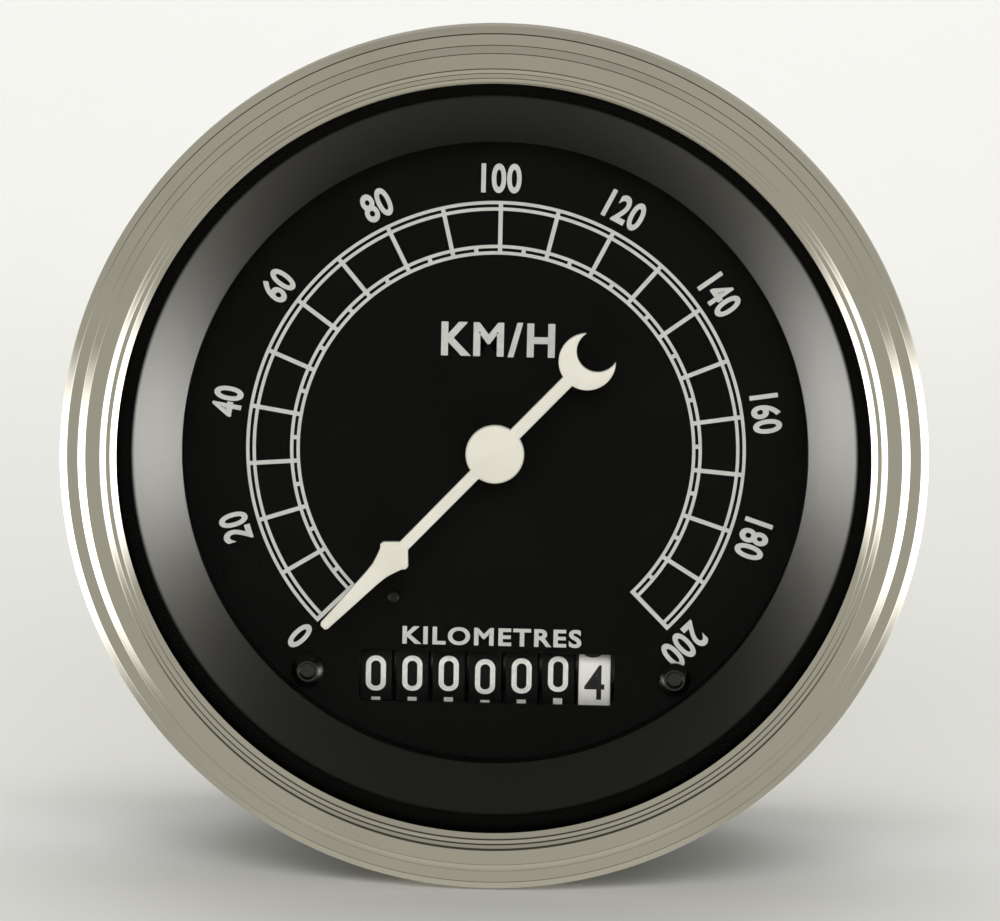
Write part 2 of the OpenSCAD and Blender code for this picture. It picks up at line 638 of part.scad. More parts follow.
// Rear mounting: studs riveted in the case back, the clamp bracket and its knurled nuts
module stud(side) color("#b5b8ba") facing() {
    rod(stud_r, stud_end, floor_z, [side * stud_x, 0]);
    rod(stud_r + 1.6, floor_z, floor_z + 1.6, [side * stud_x, 0]);
}
module clamp_bracket() color("#b9b79e") facing() difference() {
    union() {
        block(-arm_x - strap_t, arm_x + strap_t, -strap_w / 2, strap_w / 2, strap_z, strap_z + strap_t);
        rod(nut_room_r + 4.5, strap_z, strap_z + strap_t);
        for (x = [-arm_x - strap_t, arm_x])
            block(x, x + strap_t, -strap_w / 2, strap_w / 2, strap_z, -panel_gap);
    }
    rod(nut_room_r, strap_z - 1, strap_z + strap_t + 1);
    for (sx = [-1, 1]) rod(stud_r + part_gap, strap_z - 1, strap_z + strap_t + 1, [sx * stud_x, 0]);
}
module nut(side) color("#c7b269") facing() translate([side * stud_x, 0, 0]) {
    grip_r = stud_r + 4.5;
    flats = 18;
    difference() {
        union() {
            rod(grip_r, strap_z - nut_h, strap_z - 1);
            rod(stud_r + 2.5, strap_z - 1, strap_z);
        }
        rod(stud_r + run_gap, strap_z - nut_h - 1, strap_z + 1);
        for (k = [0:flats - 1]) rotate(360 * k / flats)
            rod(0.6, strap_z - nut_h - 1, strap_z - 1, [grip_r + 0.15, 0]);
    }
}

bezel();
lens();
lens_gasket();
visor();
dial();
dial_screw(-1);  // dial_screw_left
dial_screw(1);  // dial_screw_right
stop_pin();
case();
cable_spigot();
base_frame();
rear_bush();
front_bridge();
spindle_bush();
hairspring();
regulator();
bridge_screws();
frame_screws();
stud(-1);  // stud_left
stud(1);  // stud_right
lamp_holder(-1);  // lamp_holder_left
lamp_holder(1);  // lamp_holder_right
bulb(-1);  // bulb_left
bulb(1);  // bulb_right
odo_bracket(-1);  // odo_bracket_left
odo_bracket(1);  // odo_bracket_right
odo_axle();
carrier_rod();
carriers();
drive_shaft();
drive_worm();
magnet();
return_cup();
cross_shaft();
cross_wheel();
cross_worm();
long_shaft();
long_wheel();
long_worm();
tenths_gear();
pointer();
spindle();
drag_cup();
clamp_bracket();
nut(-1);  // nut_left
nut(1);  // nut_right
for (k = [1:7]) drum(k - 1);
for (k = [1:6]) pinion(k - 1);
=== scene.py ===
"""Looks of a round dashboard speedometer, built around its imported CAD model.

Lengths are in metres in the model's own frame: the dial faces -Y, Z is up, and y = 0 is the
plane where the bezel rests on the panel. A profile is a list of (radius, forward) pairs, where
forward is the distance in front of that plane, so that forward = -y. An outline in the dial's
plane is a list of (x, z) pairs.
"""

import logging
import math
from dataclasses import dataclass
from enum import Enum
from typing import TypeAlias

import bmesh
import bpy
from mathutils import Matrix, Vector

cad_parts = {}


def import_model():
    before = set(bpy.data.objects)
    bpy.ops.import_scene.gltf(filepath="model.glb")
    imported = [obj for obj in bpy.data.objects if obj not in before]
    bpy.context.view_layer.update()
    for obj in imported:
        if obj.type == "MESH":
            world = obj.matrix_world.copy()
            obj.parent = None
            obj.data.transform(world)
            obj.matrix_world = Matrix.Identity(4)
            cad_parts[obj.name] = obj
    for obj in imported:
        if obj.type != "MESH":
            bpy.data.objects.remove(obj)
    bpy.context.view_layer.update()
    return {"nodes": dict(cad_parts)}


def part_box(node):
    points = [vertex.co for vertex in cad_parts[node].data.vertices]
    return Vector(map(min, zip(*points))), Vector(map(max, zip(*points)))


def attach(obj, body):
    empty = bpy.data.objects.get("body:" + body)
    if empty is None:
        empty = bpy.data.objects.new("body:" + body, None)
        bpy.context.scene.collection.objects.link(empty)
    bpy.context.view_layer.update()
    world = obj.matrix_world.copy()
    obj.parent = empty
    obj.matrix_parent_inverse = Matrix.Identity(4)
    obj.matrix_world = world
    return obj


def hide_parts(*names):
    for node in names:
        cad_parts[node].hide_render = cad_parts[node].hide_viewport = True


Pair: TypeAlias = tuple[float, float]
Tone: TypeAlias = tuple[float, float, float]
Outline: TypeAlias = list[Pair]
Shape: TypeAlias = bmesh.types.BMesh
Number: TypeAlias = "Value | float"

LOG = logging.getLogger("speedometer")
MM = 0.001
FULL_TURN = 2 * math.pi
SIDES: tuple[tuple[int, str], ...] = ((-1, "left"), (1, "right"))
MERGE = 1e-7  # metres under which two vertices are one
TEXT_MERGE = 1e-5  # the same for letters, before they get their size
RIM_ANGLE = math.radians(60)  # an edge this sharp is a plate's rim
CONDENSED = 0.74  # width of a dial figure, as a share of the typeface's own
THREAD_FOOT, THREAD_TOP = 0.46, 0.07  # half widths of a thread's ridge, as shares of the pitch
THREAD_SUNK = 0.985  # radius at which a ridge starts, as a share of its core's
TOOL_MARKS = 9000.0  # noise cells per metre across turned and brushed lines
GRAIN_LENGTH = 260.0  # noise cells per metre along brushed lines


class Value:
    """A shader socket that takes Python's arithmetic."""

    def __init__(self, graph: "Graph", socket: bpy.types.NodeSocket) -> None:
        """Wraps one output socket of the graph."""
        self.graph = graph
        self.socket = socket

    def _math(self, operation: str, first: Number, second: Number) -> "Value":
        """The result of a new Math node."""
        return self.graph.value("ShaderNodeMath", {"operation": operation}, {0: first, 1: second})

    def __add__(self, other: Number) -> "Value":
        """self + other."""
        return self._math("ADD", self, other)

    __radd__ = __add__

    def __sub__(self, other: Number) -> "Value":
        """self - other."""
        return self._math("SUBTRACT", self, other)

    def __rsub__(self, other: Number) -> "Value":
        """other - self."""
        return self._math("SUBTRACT", other, self)

    def __mul__(self, other: Number) -> "Value":
        """self * other."""
        return self._math("MULTIPLY", self, other)

    __rmul__ = __mul__

    def __pow__(self, other: Number) -> "Value":
        """self ** other."""
        return self._math("POWER", self, other)

    def size(self) -> "Value":
        """The number without its sign."""
        return self._math("ABSOLUTE", self, 0.0)

    def above(self, limit: float, spread: float) -> "Value":
        """A soft step.

        Args:
            limit: the number up to which it is 0.
            spread: how much further it is 1.

        Returns:
            The step, 0 to 1.
        """
        settings = {"interpolation_type": "SMOOTHSTEP"}
        sockets = {"Value": self, "From Min": limit, "From Max": limit + spread}
        return self.graph.value("ShaderNodeMapRange", settings, sockets, "Result")


class Graph:
    """The node tree of one material or of the world."""

    def __init__(self, owner: bpy.types.Material | bpy.types.World) -> None:
        """Empties a node tree and keeps it.

        Args:
            owner: the material or world that has the tree.
        """
        owner.use_nodes = True
        self.tree = owner.node_tree
        self.tree.nodes.clear()

    def add(self, kind: str, settings: dict | None = None, sockets: dict | None = None) -> bpy.types.Node:
        """Adds a node.

        Args:
            kind: the node's type name.
            settings: its properties, which are set first.
            sockets: numbers, colours or Value links for its inputs, by name or number.

        Returns:
            The new node.
        """
        node = self.tree.nodes.new(kind)
        for name, value in (settings or {}).items():
            setattr(node, name, value)
        for key, value in (sockets or {}).items():
            if isinstance(value, Value):
                self.tree.links.new(value.socket, node.inputs[key])
            else:
                node.inputs[key].default_value = value
        return node

    def value(self, kind: str, settings: dict | None = None, sockets: dict | None = None,
              output: str | int = 0) -> Value:
        """Adds a node as add does, and wraps the named or numbered output."""
        return Value(self, self.add(kind, settings, sockets).outputs[output])

    def place(self) -> Value:
        """The point's place in the object, in metres."""
        return self.value("ShaderNodeTexCoord", output="Object")

    def noise(self, where: Value, scale: float, detail: float = 2.0, rough: float = 0.5) -> Value:
        """Soft noise.

        Args:
            where: the coordinates it reads.
            scale: cells per metre.
            detail: octaves.
            rough: share of the finer octaves.

        Returns:
            The noise, 0 to 1.
        """
        sockets = {"Vector": where, "Scale": scale, "Detail": detail, "Roughness": rough}
        return self.value("ShaderNodeTexNoise", None, sockets)

    def stretched(self, where: Value, scale: tuple[float, float, float]) -> Value:
        """The coordinates, scaled along each axis."""
        return self.value("ShaderNodeMapping", None, {"Vector": where, "Scale": scale})

    def axis_parts(self, where: Value) -> tuple[Value, Value, Value]:
        """The x, y and z of a point."""
        node = self.add("ShaderNodeSeparateXYZ", None, {0: where})
        return Value(self, node.outputs[0]), Value(self, node.outputs[1]), Value(self, node.outputs[2])

    def ring_coordinates(self, where: Value) -> tuple[Value, Value]:
        """Where a point lies round the gauge's axis.

        Args:
            where: the point.

        Returns:
            Its radius in metres and its angle in radians.
        """
        x, _, z = self.axis_parts(where)
        angle = self.value("ShaderNodeMath", {"operation": "ARCTAN2"}, {0: z, 1: x})
        return (x * x + z * z) ** 0.5, angle

    def vector(self, x: Number, y: Number, z: Number) -> Value:
        """A vector from three numbers."""
        return self.value("ShaderNodeCombineXYZ", None, {0: x, 1: y, 2: z})

    def blend(self, share: Value, low: Tone, high: Tone) -> Value:
        """A colour between two, by share."""
        sockets = {0: share, 6: (*low, 1.0), 7: (*high, 1.0)}
        return self.value("ShaderNodeMix", {"data_type": "RGBA"}, sockets, 2)

    def shaded(self, colour: Value, share: Value) -> Value:
        """A colour times a number."""
        return self.value("ShaderNodeVectorMath", {"operation": "SCALE"}, {0: colour, "Scale": share})

    def bump(self, height: Value, distance: float) -> Value:
        """A normal bumped by a height of 0 to 1 times distance in metres."""
        return self.value("ShaderNodeBump", None, {"Height": height, "Distance": distance})

    def surface(self, sockets: dict) -> None:
        """Ends a material in a Principled shader with these inputs."""
        shader = self.value("ShaderNodeBsdfPrincipled", None, sockets)
        self.add("ShaderNodeOutputMaterial", None, {0: shader})


class Grain(Enum):
    """What the fine relief of a finish looks like."""

    TURNED = "turned"
    BRUSHED = "brushed"
    CAST = "cast"
    ORANGE_PEEL = "orange_peel"


@dataclass(frozen=True)
class Finish:
    """One surface finish: two tones that drift into each other, a gloss range and a fine relief."""

    name: str
    tone: Tone
    tone_two: Tone
    gloss: Pair
    metallic: float = 0.0
    grain: Grain = Grain.CAST
    relief: float = 1e-6
    drift: float = 120.0
    specular: float = 0.5

    def material(self) -> bpy.types.Material:
        """Builds the material the first time that it is asked for.

        Returns:
            The material.
        """
        material = bpy.data.materials.get(self.name)
        if not material:
            material = bpy.data.materials.new(self.name)
            graph = Graph(material)
            graph.surface(self._inputs(graph, graph.place()))
        return material

    def _inputs(self, graph: Graph, where: Value) -> dict:
        """What the shader's inputs get.

        Args:
            graph: the material's nodes.
            where: the point's place in the object.

        Returns:
            Numbers, colours and links by the input's name.
        """
        drift = graph.noise(where, self.drift, 4.0, 0.6)
        fine = graph.noise(where, self.drift * 14.0, 2.0)
        return {
            "Base Color": graph.blend(drift.above(0.3, 0.4), self.tone, self.tone_two),
            "Roughness": self._roughness(drift, fine, 0.6),
            "Metallic": self.metallic,
            "Specular IOR Level": self.specular,
            "Normal": graph.bump(self._relief_height(graph, where), self.relief),
        }

    def _roughness(self, coarse: Value, fine: Value, share: float) -> Value:
        """A roughness in the gloss range, of which the coarse pattern sets this share."""
        low, high = self.gloss
        return coarse * ((high - low) * share) + fine * ((high - low) * (1.0 - share)) + low

    def _relief_height(self, graph: Graph, where: Value) -> Value:
        """The height map of the fine relief.

        Args:
            graph: the material's nodes.
            where: the point's place in the object.

        Returns:
            The height, 0 to 1.
        """
        if self.grain is Grain.TURNED:
            radius, _ = graph.ring_coordinates(where)
            _, y, _ = graph.axis_parts(where)
            return graph.noise(graph.vector(radius * TOOL_MARKS, y * TOOL_MARKS, 0.0), 1.0, 1.0)
        if self.grain is Grain.BRUSHED:
            return graph.noise(graph.stretched(where, (GRAIN_LENGTH, TOOL_MARKS, TOOL_MARKS)), 1.0, 1.0)
        if self.grain is Grain.ORANGE_PEEL:
            return graph.noise(where, 1700.0, 1.0, 0.4)
        return graph.noise(where, 2600.0, 4.0, 0.65)


@dataclass(frozen=True)
class ClearPane(Finish):
    """Flat clear glass: only what it mirrors is seen, and more of it at a slant."""

    ior: float = 1.3
    smear_roughness: float = 0.02

    def _inputs(self, graph: Graph, where: Value) -> dict:
        """What the shader's inputs get.

        Args:
            graph: the material's nodes.
            where: the point's place in the object.

        Returns:
            Numbers, colours and links by the input's name.
        """
        smear = graph.noise(where, 60.0, 3.0).above(0.55, 0.3)
        return {
            "Base Color": (*self.tone, 1.0),
            "Metallic": 1.0,
            "Roughness": smear * self.smear_roughness + self.gloss[0],
            "Alpha": graph.value("ShaderNodeFresnel", None, {"IOR": self.ior}),
        }


@dataclass(frozen=True)
class WornChrome(Finish):
    """Bright plate with faint polishing lines round the ring and a few dull patches."""

    def _inputs(self, graph: Graph, where: Value) -> dict:
        """What the shader's inputs get.

        Args:
            graph: the material's nodes.
            where: the point's place in the object.

        Returns:
            Numbers, colours and links by the input's name.
        """
        radius, angle = graph.ring_coordinates(where)
        lines = graph.noise(graph.vector(radius * 5200.0, angle * 3.0, 0.0), 1.0, 2.0)
        haze = graph.noise(where, 45.0, 4.0, 0.62).above(0.42, 0.35)
        return {
            "Base Color": graph.blend(haze, self.tone, self.tone_two),
            "Metallic": 1.0,
            "Roughness": self._roughness(haze, lines, 0.5),
            "Normal": graph.bump(lines, self.relief),
        }


@dataclass(frozen=True)
class SatinVisor(Finish):
    """Black anodised metal, brushed round the cone, with painted shade: the flat beside the bezel's lip
    and the skirt down to the dial get a near-black tone for the shade that they lie in.
    """

    # Painted shade: inside skirt_radius and outside cone_radius the tone turns to the near-black flat
    # tone, fading over skirt_fade and cone_fade.
    skirt_radius: float = 34.02 * MM
    cone_radius: float = 39.0 * MM
    skirt_fade: float = 0.1 * MM
    cone_fade: float = 0.45 * MM
    # flat is the near-black tone of the painted shade on the flat and on the skirt.
    flat: Tone = (0.006, 0.006, 0.0065)

    def _inputs(self, graph: Graph, where: Value) -> dict:
        """What the shader's inputs get.

        Args:
            graph: the material's nodes.
            where: the point's place in the object.

        Returns:
            Numbers, colours and links by the input's name.
        """
        radius, angle = graph.ring_coordinates(where)
        _, y, _ = graph.axis_parts(where)
        brush = graph.noise(graph.vector(radius * 7000.0, y * 7000.0, angle * 4.0), 1.0, 2.0)
        speck = graph.noise(where, 5200.0, 2.0)
        # outside, and the skirt below skirt_radius, get the painted shade tone; on_cone keeps the visor's
        # own tone.
        outside = radius.above(self.cone_radius, self.cone_fade)
        on_cone = radius.above(self.skirt_radius, self.skirt_fade) - outside
        return {
            "Base Color": graph.shaded(graph.blend(on_cone, self.flat, self.tone), 0.98 - 0.06 * speck),
            "Metallic": self.metallic,
            "Roughness": brush * (self.gloss[1] - self.gloss[0]) + self.gloss[0],
            "Normal": graph.bump(brush * 0.7 + speck * 0.3, self.relief),
        }


CHROME = WornChrome("chrome_plate", (0.86, 0.85, 0.79), (0.80, 0.785, 0.72), (0.05, 0.14),
                    relief=0.4e-6)
PANE = ClearPane("clear_pane", (1.0, 1.0, 1.0), (1.0, 1.0, 1.0), (0.01, 0.03), ior=1.1)
VISOR = SatinVisor("satin_visor", (0.24, 0.24, 0.238), (0.24, 0.24, 0.238), (0.27, 0.31), metallic=1.0,
                   relief=0.6e-6)
DIAL_BLACK = Finish("dial_paint", (0.003, 0.003, 0.0029), (0.0042, 0.0042, 0.004), (0.55, 0.7),
                    specular=0.04)
INK = Finish("dial_ink", (0.62, 0.62, 0.595), (0.56, 0.56, 0.54), (0.5, 0.65), grain=Grain.ORANGE_PEEL,
             relief=1.5e-6, drift=900.0)
CREAM = Finish("cream_paint", (0.86, 0.84, 0.74), (0.80, 0.78, 0.68), (0.34, 0.48),
               grain=Grain.ORANGE_PEEL, relief=2.5e-6, drift=160.0)
BLACK_STEEL = Finish("blackened_steel", (0.03, 0.03, 0.03), (0.05, 0.05, 0.05), (0.2, 0.32),
                     metallic=0.9, relief=1.5e-6)
SCREW_BLACK = Finish("screw_black", (0.075, 0.075, 0.075), (0.09, 0.09, 0.09), (0.14, 0.2),
                     metallic=1.0)
DRUM_BLACK = Finish("drum_black_paint", (0.004, 0.004, 0.004), (0.007, 0.007, 0.007), (0.45, 0.6),
                    specular=0.15)
DRUM_WHITE = Finish("drum_white_paint", (0.86, 0.85, 0.80), (0.78, 0.77, 0.72), (0.4, 0.55),
                    relief=2e-6, drift=300.0)
DRUM_INK_WHITE = Finish("drum_ink_white", (0.84, 0.84, 0.80), (0.68, 0.68, 0.64), (0.5, 0.6),
                        relief=2e-6, drift=1200.0)
DRUM_INK_BLACK = Finish("drum_ink_black", (0.012, 0.012, 0.012), (0.02, 0.02, 0.02), (0.5, 0.6),
                        relief=2e-6)
RUBBER = Finish("soft_rubber", (0.018, 0.018, 0.018), (0.03, 0.03, 0.03), (0.6, 0.8), relief=4e-6)
CASE_PAINT = Finish("case_paint", (0.235, 0.245, 0.25), (0.19, 0.2, 0.205), (0.38, 0.55), metallic=0.35,
                    grain=Grain.ORANGE_PEEL, relief=6e-6, drift=40.0)
SPIGOT_METAL = Finish("dull_plated_brass", (0.60, 0.52, 0.33), (0.50, 0.43, 0.28), (0.26, 0.42),
                      metallic=1.0, grain=Grain.TURNED, relief=1.5e-6)
STRAP_ZINC = Finish("yellow_zinc_strap", (0.62, 0.58, 0.42), (0.54, 0.53, 0.46), (0.28, 0.46),
                    metallic=1.0, grain=Grain.BRUSHED, relief=1.5e-6, drift=70.0)
BRASS = Finish("turned_brass", (0.72, 0.55, 0.27), (0.62, 0.47, 0.24), (0.2, 0.36), metallic=1.0,
               grain=Grain.TURNED, relief=1.2e-6)
STEEL = Finish("turned_steel", (0.62, 0.62, 0.62), (0.52, 0.53, 0.54), (0.22, 0.38), metallic=1.0,
               grain=Grain.TURNED, relief=1.2e-6)
SHEET_STEEL = Finish("rolled_sheet", (0.55, 0.56, 0.57), (0.47, 0.48, 0.49), (0.3, 0.46), metallic=1.0,
                     grain=Grain.BRUSHED, relief=1.2e-6)
CASTING = Finish("cast_zinc_skin", (0.44, 0.45, 0.45), (0.36, 0.37, 0.37), (0.45, 0.62), metallic=0.8,
                 relief=1.2e-5)
BRONZE = Finish("sintered_bronze", (0.50, 0.34, 0.17), (0.40, 0.27, 0.14), (0.4, 0.6), metallic=1.0,
                relief=6e-6)
SPRING = Finish("rolled_bronze", (0.66, 0.46, 0.22), (0.58, 0.40, 0.2), (0.18, 0.3), metallic=1.0,
                grain=Grain.BRUSHED, relief=8e-7)
NYLON = Finish("milky_nylon", (0.76, 0.73, 0.64), (0.68, 0.65, 0.57), (0.36, 0.5), relief=2e-6)
MAGNET = Finish("sintered_magnet", (0.05, 0.05, 0.055), (0.08, 0.08, 0.085), (0.45, 0.6), metallic=0.6,
                relief=5e-6)
ALUMINIUM = Finish("spun_aluminium", (0.74, 0.75, 0.76), (0.66, 0.67, 0.68), (0.22, 0.36), metallic=1.0,
                   grain=Grain.TURNED, relief=1.2e-6)
LAMP_PLASTIC = Finish("moulded_plastic", (0.03, 0.03, 0.03), (0.045, 0.045, 0.045), (0.4, 0.55),
                      relief=4e-6)
TINNED = Finish("tinned_brass", (0.66, 0.65, 0.6), (0.58, 0.57, 0.52), (0.24, 0.4), metallic=1.0,
                grain=Grain.BRUSHED)
BULB = ClearPane("lamp_glass", (1.0, 1.0, 0.97), (1.0, 1.0, 0.97), (0.01, 0.03), ior=1.45)

INNER_PIECES: dict[Finish, tuple[str, ...]] = {
    STEEL: ("regulator", "bridge_screws", "frame_screws", "odo_axle", "carrier_rod", "drive_shaft",
            "cross_shaft", "long_shaft"),
    SHEET_STEEL: ("odo_bracket_left", "odo_bracket_right", "carriers", "return_cup"),
    NYLON: ("drive_worm", "cross_wheel", "cross_worm", "long_wheel", "long_worm", "tenths_gear",
            *(f"pinion_{number}" for number in range(1, 7))),
    BRASS: ("front_bridge", "spindle"), BRONZE: ("rear_bush", "spindle_bush"),
    CASTING: ("base_frame",), SPRING: ("hairspring",), MAGNET: ("magnet",), ALUMINIUM: ("drag_cup",),
    RUBBER: ("lens_gasket",), BULB: ("bulb_left", "bulb_right"),
}


def rounded(corners: Outline, radii: dict[int, float], steps: int = 4) -> Outline:
    """Rounds some corners of a closed outline.

    Args:
        corners: the outline's corners in order.
        radii: the radius at each corner's index that is rounded.
        steps: arc segments at each corner.

    Returns:
        The outline with arcs in place of those corners.
    """
    result: Outline = []
    for index, corner in enumerate(corners):
        radius = radii.get(index, 0.0)
        here = Vector(corner)
        to_last = Vector(corners[index - 1]) - here
        to_next = Vector(corners[(index + 1) % len(corners)]) - here
        if not radius:
            result.append(tuple(here))
            continue
        half = to_last.angle(to_next) / 2
        inward = (to_last.normalized() + to_next.normalized()).normalized()
        middle = here + inward * radius / math.sin(half)
        first = here + to_last.normalized() * (radius / math.tan(half)) - middle
        turn = math.pi - 2 * half
        cross = to_last.x * to_next.y - to_last.y * to_next.x
        sign = -1.0 if cross < 0 else 1.0
        for step in range(steps + 1):
            angle = -sign * turn * step / steps
            cosine, sine = math.cos(angle), math.sin(angle)
            result.append((
                middle.x + first.x * cosine - first.y * sine,
                middle.y + first.x * sine + first.y * cosine,
            ))
    return result


def arc_points(centre: Pair, radius: float, start: float, end: float, steps: int) -> Outline:
    """Points along an arc.

    Args:
        centre: the arc's centre.
        radius: its radius.
        start: first angle in degrees.
        end: last angle in degrees.
        steps: segments.

    Returns:
        steps + 1 points.
    """
    angles = [math.radians(start + (end - start) * i / steps) for i in range(steps + 1)]
    return [(centre[0] + radius * math.cos(a), centre[1] + radius * math.sin(a)) for a in angles]


def circle(radius: float, centre: Pair = (0.0, 0.0), steps: int = 64) -> Outline:
    """A closed circle of points."""
    return arc_points(centre, radius, 0.0, 360.0 * (steps - 1) / steps, steps - 1)


def rounded_box(centre: Pair, half_wide: float, half_tall: float, radius: float, steps: int) -> Outline:
    """A rectangle with four round corners.

    Args:
        centre: its middle.
        half_wide: half its width.
        half_tall: half its height.
        radius: the radius of its corners.
        steps: arc segments at each corner.

    Returns:
        The closed outline.
    """
    cx, cz = centre
    corners = [(cx - half_wide, cz - half_tall), (cx + half_wide, cz - half_tall),
               (cx + half_wide, cz + half_tall), (cx - half_wide, cz + half_tall)]
    return rounded(corners, dict.fromkeys(range(4), radius), steps)


def settle(mesh: Shape) -> Shape:
    """Merges doubles and turns every face outwards.

    Args:
        mesh: the shape, which is changed.

    Returns:
        The same shape.
    """
    bmesh.ops.remove_doubles(mesh, verts=mesh.verts, dist=MERGE)
    bmesh.ops.dissolve_degenerate(mesh, edges=mesh.edges, dist=MERGE)
    bmesh.ops.recalc_face_normals(mesh, faces=mesh.faces)
    return mesh


def pull(mesh: Shape, made: dict, way: tuple[float, float, float]) -> None:
    """Moves the vertices that an extrusion made."""
    moved = [item for item in made["geom"] if isinstance(item, bmesh.types.BMVert)]
    bmesh.ops.translate(mesh, vec=way, verts=moved)


def break_edges(mesh: Shape, edges: list[bmesh.types.BMEdge], width: float) -> None:
    """Bevels some edges."""
    bmesh.ops.bevel(mesh, geom=edges, offset=width, offset_type="OFFSET", segments=2,
                    profile=0.5, affect="EDGES", material=-1)


def lathe(outline: Outline, steps: int = 192, centre: Pair = (0.0, 0.0), closed: bool = True) -> Shape:
    """Turns a profile about an axis that runs along Y.

    Args:
        outline: (radius, forward) points.
        steps: segments round the axis.
        centre: x and z of the axis.
        closed: whether the profile's last point joins its first.

    Returns:
        The turned mesh.
    """
    mesh = bmesh.new()
    cx, cz = centre
    points = [mesh.verts.new((cx + radius, -forward, cz)) for radius, forward in outline]
    pairs = list(zip(points, points[1:]))
    if closed:
        pairs.append((points[-1], points[0]))
    edges = [mesh.edges.new(pair) for pair in pairs]
    bmesh.ops.spin(mesh, geom=points + edges, cent=(cx, 0, cz), axis=(0, 1, 0),
                   angle=FULL_TURN, steps=steps, use_merge=True)
    return settle(mesh)


def swept(section: list[Vector], centre: Pair, angle: float, steps: int, advance: float = 0.0) -> Shape:
    """Sweeps a section about an axis that runs along Y, and closes both ends.

    Args:
        section: four corners of the first end.
        centre: x and z of the axis.
        angle: how far it turns, in radians.
        steps: segments.
        advance: how far each segment goes along Y.

    Returns:
        The swept bar.
    """
    mesh = bmesh.new()
    points = [mesh.verts.new(point) for point in section]
    face = mesh.faces.new(points)
    bmesh.ops.spin(mesh, geom=points + list(face.edges), cent=(centre[0], 0, centre[1]), axis=(0, 1, 0),
                   dvec=(0, advance, 0), angle=angle, steps=steps, use_merge=False)
    bmesh.ops.holes_fill(mesh, edges=[e for e in mesh.edges if e.is_boundary], sides=4)
    return settle(mesh)


def screw_thread(core: float, crest: float, pitch: float, start: float, end: float,
                 centre: Pair = (0.0, 0.0), steps: int = 32) -> Shape:
    """A right-hand helical ridge round a shaft that runs along Y.

    Args:
        core: radius at its foot.
        crest: radius at its top.
        pitch: advance in one turn.
        start: forward place where it starts, at the front.
        end: forward place where it ends.
        centre: x and z of the shaft.
        steps: segments in one turn.

    Returns:
        The ridge, closed at both ends.
    """
    turns = (start - end - pitch) / pitch
    count = max(1, round(turns * steps))
    foot, top, sunk = pitch * THREAD_FOOT, pitch * THREAD_TOP, core * THREAD_SUNK
    section = [Vector((centre[0] + radius, -(start - pitch / 2) + shift, centre[1]))
               for radius, shift in ((sunk, -foot), (crest, -top), (crest, top), (sunk, foot))]
    return swept(section, centre, -FULL_TURN * turns, count, (start - end - pitch) / count)


def cut_plate(loops: list[Outline], back: float, front: float, edge: float = 0.0) -> Shape:
    """A flat plate that faces the dial's reader, with holes.

    Args:
        loops: the outer outline and then each hole, as (x, z) points.
        back: forward place of its rear face.
        front: forward place of its front face.
        edge: width of the bevel round its rims.

    Returns:
        The plate.
    """
    mesh = bmesh.new()
    rim = []
    for loop in loops:
        points = [mesh.verts.new((x, -back, z)) for x, z in loop]
        rim += [mesh.edges.new(pair) for pair in zip(points, points[1:] + points[:1])]
    bmesh.ops.triangle_fill(mesh, use_beauty=True, use_dissolve=False, edges=rim)
    made = bmesh.ops.extrude_face_region(mesh, geom=mesh.faces[:], use_keep_orig=True)
    pull(mesh, made, (0, back - front, 0))
    settle(mesh)
    if edge:
        rims = [e for e in mesh.edges if e.is_manifold and e.calc_face_angle(0.0) > RIM_ANGLE
                and abs(e.verts[0].co.y - e.verts[1].co.y) < MERGE]
        break_edges(mesh, rims, edge)
        settle(mesh)
    return mesh


def lettering(text: str, height: float, width: float | None, weight: float, thick: float,
              spacing: float = 1.06) -> Shape:
    """Flat letters or figures, centred, in the plane that faces the reader.

    Args:
        text: what they say.
        height: height of a figure.
        width: full width, or None to keep a condensed figure's proportion.
        weight: how much each stroke is thickened, as a share of the height.
        thick: how far the front stands before the back.
        spacing: distance from letter to letter, as a share of the usual one.

    Returns:
        A mesh with x to the right and z up, its back at y = 0.
    """
    curve = bpy.data.curves.new("lettering", "FONT")
    curve.body = text
    curve.space_character = spacing
    curve.resolution_u = 5
    curve.offset = weight
    holder = bpy.data.objects.new("lettering", curve)
    flat = bpy.data.meshes.new_from_object(holder)
    mesh = bmesh.new()
    mesh.from_mesh(flat)
    bpy.data.objects.remove(holder)
    bpy.data.curves.remove(curve)
    bpy.data.meshes.remove(flat)
    bmesh.ops.remove_doubles(mesh, verts=mesh.verts, dist=TEXT_MERGE)
    low = Vector((min(v.co.x for v in mesh.verts), min(v.co.y for v in mesh.verts), 0))
    high = Vector((max(v.co.x for v in mesh.verts), max(v.co.y for v in mesh.verts), 0))
    tall = height / (high.y - low.y)
    wide = tall * CONDENSED if width is None else width / (high.x - low.x)
    upright = Matrix.Rotation(math.pi / 2, 3, "X")
    bmesh.ops.translate(mesh, vec=-(low + high) / 2, verts=mesh.verts)
    bmesh.ops.scale(mesh, vec=(wide, tall, 1), verts=mesh.verts)
    bmesh.ops.rotate(mesh, cent=(0, 0, 0), matrix=upright, verts=mesh.verts)
    made = bmesh.ops.extrude_face_region(mesh, geom=mesh.faces[:], use_keep_orig=True)
    pull(mesh, made, (0, -thick, 0))
    bmesh.ops.recalc_face_normals(mesh, faces=mesh.faces)
    return mesh


def smooth_mesh(name: str, mesh: Shape) -> bpy.types.Mesh:
    """Turns a shape into mesh data with smooth faces, and frees it.

    Args:
        name: the data's name.
        mesh: the shape.

    Returns:
        The mesh data.
    """
    data = bpy.data.meshes.new(name)
    mesh.to_mesh(data)
    mesh.free()
    data.polygons.foreach_set("use_smooth", [True] * len(data.polygons))
    return data


def joined(parts: list[Shape]) -> Shape:
    """Puts several shapes in one, and frees them.

    Args:
        parts: the shapes.

    Returns:
        One shape with all their faces.
    """
    whole = bmesh.new()
    for part in parts:
        data = smooth_mesh("joining", part)
        whole.from_mesh(data)
        bpy.data.meshes.remove(data)
    return whole


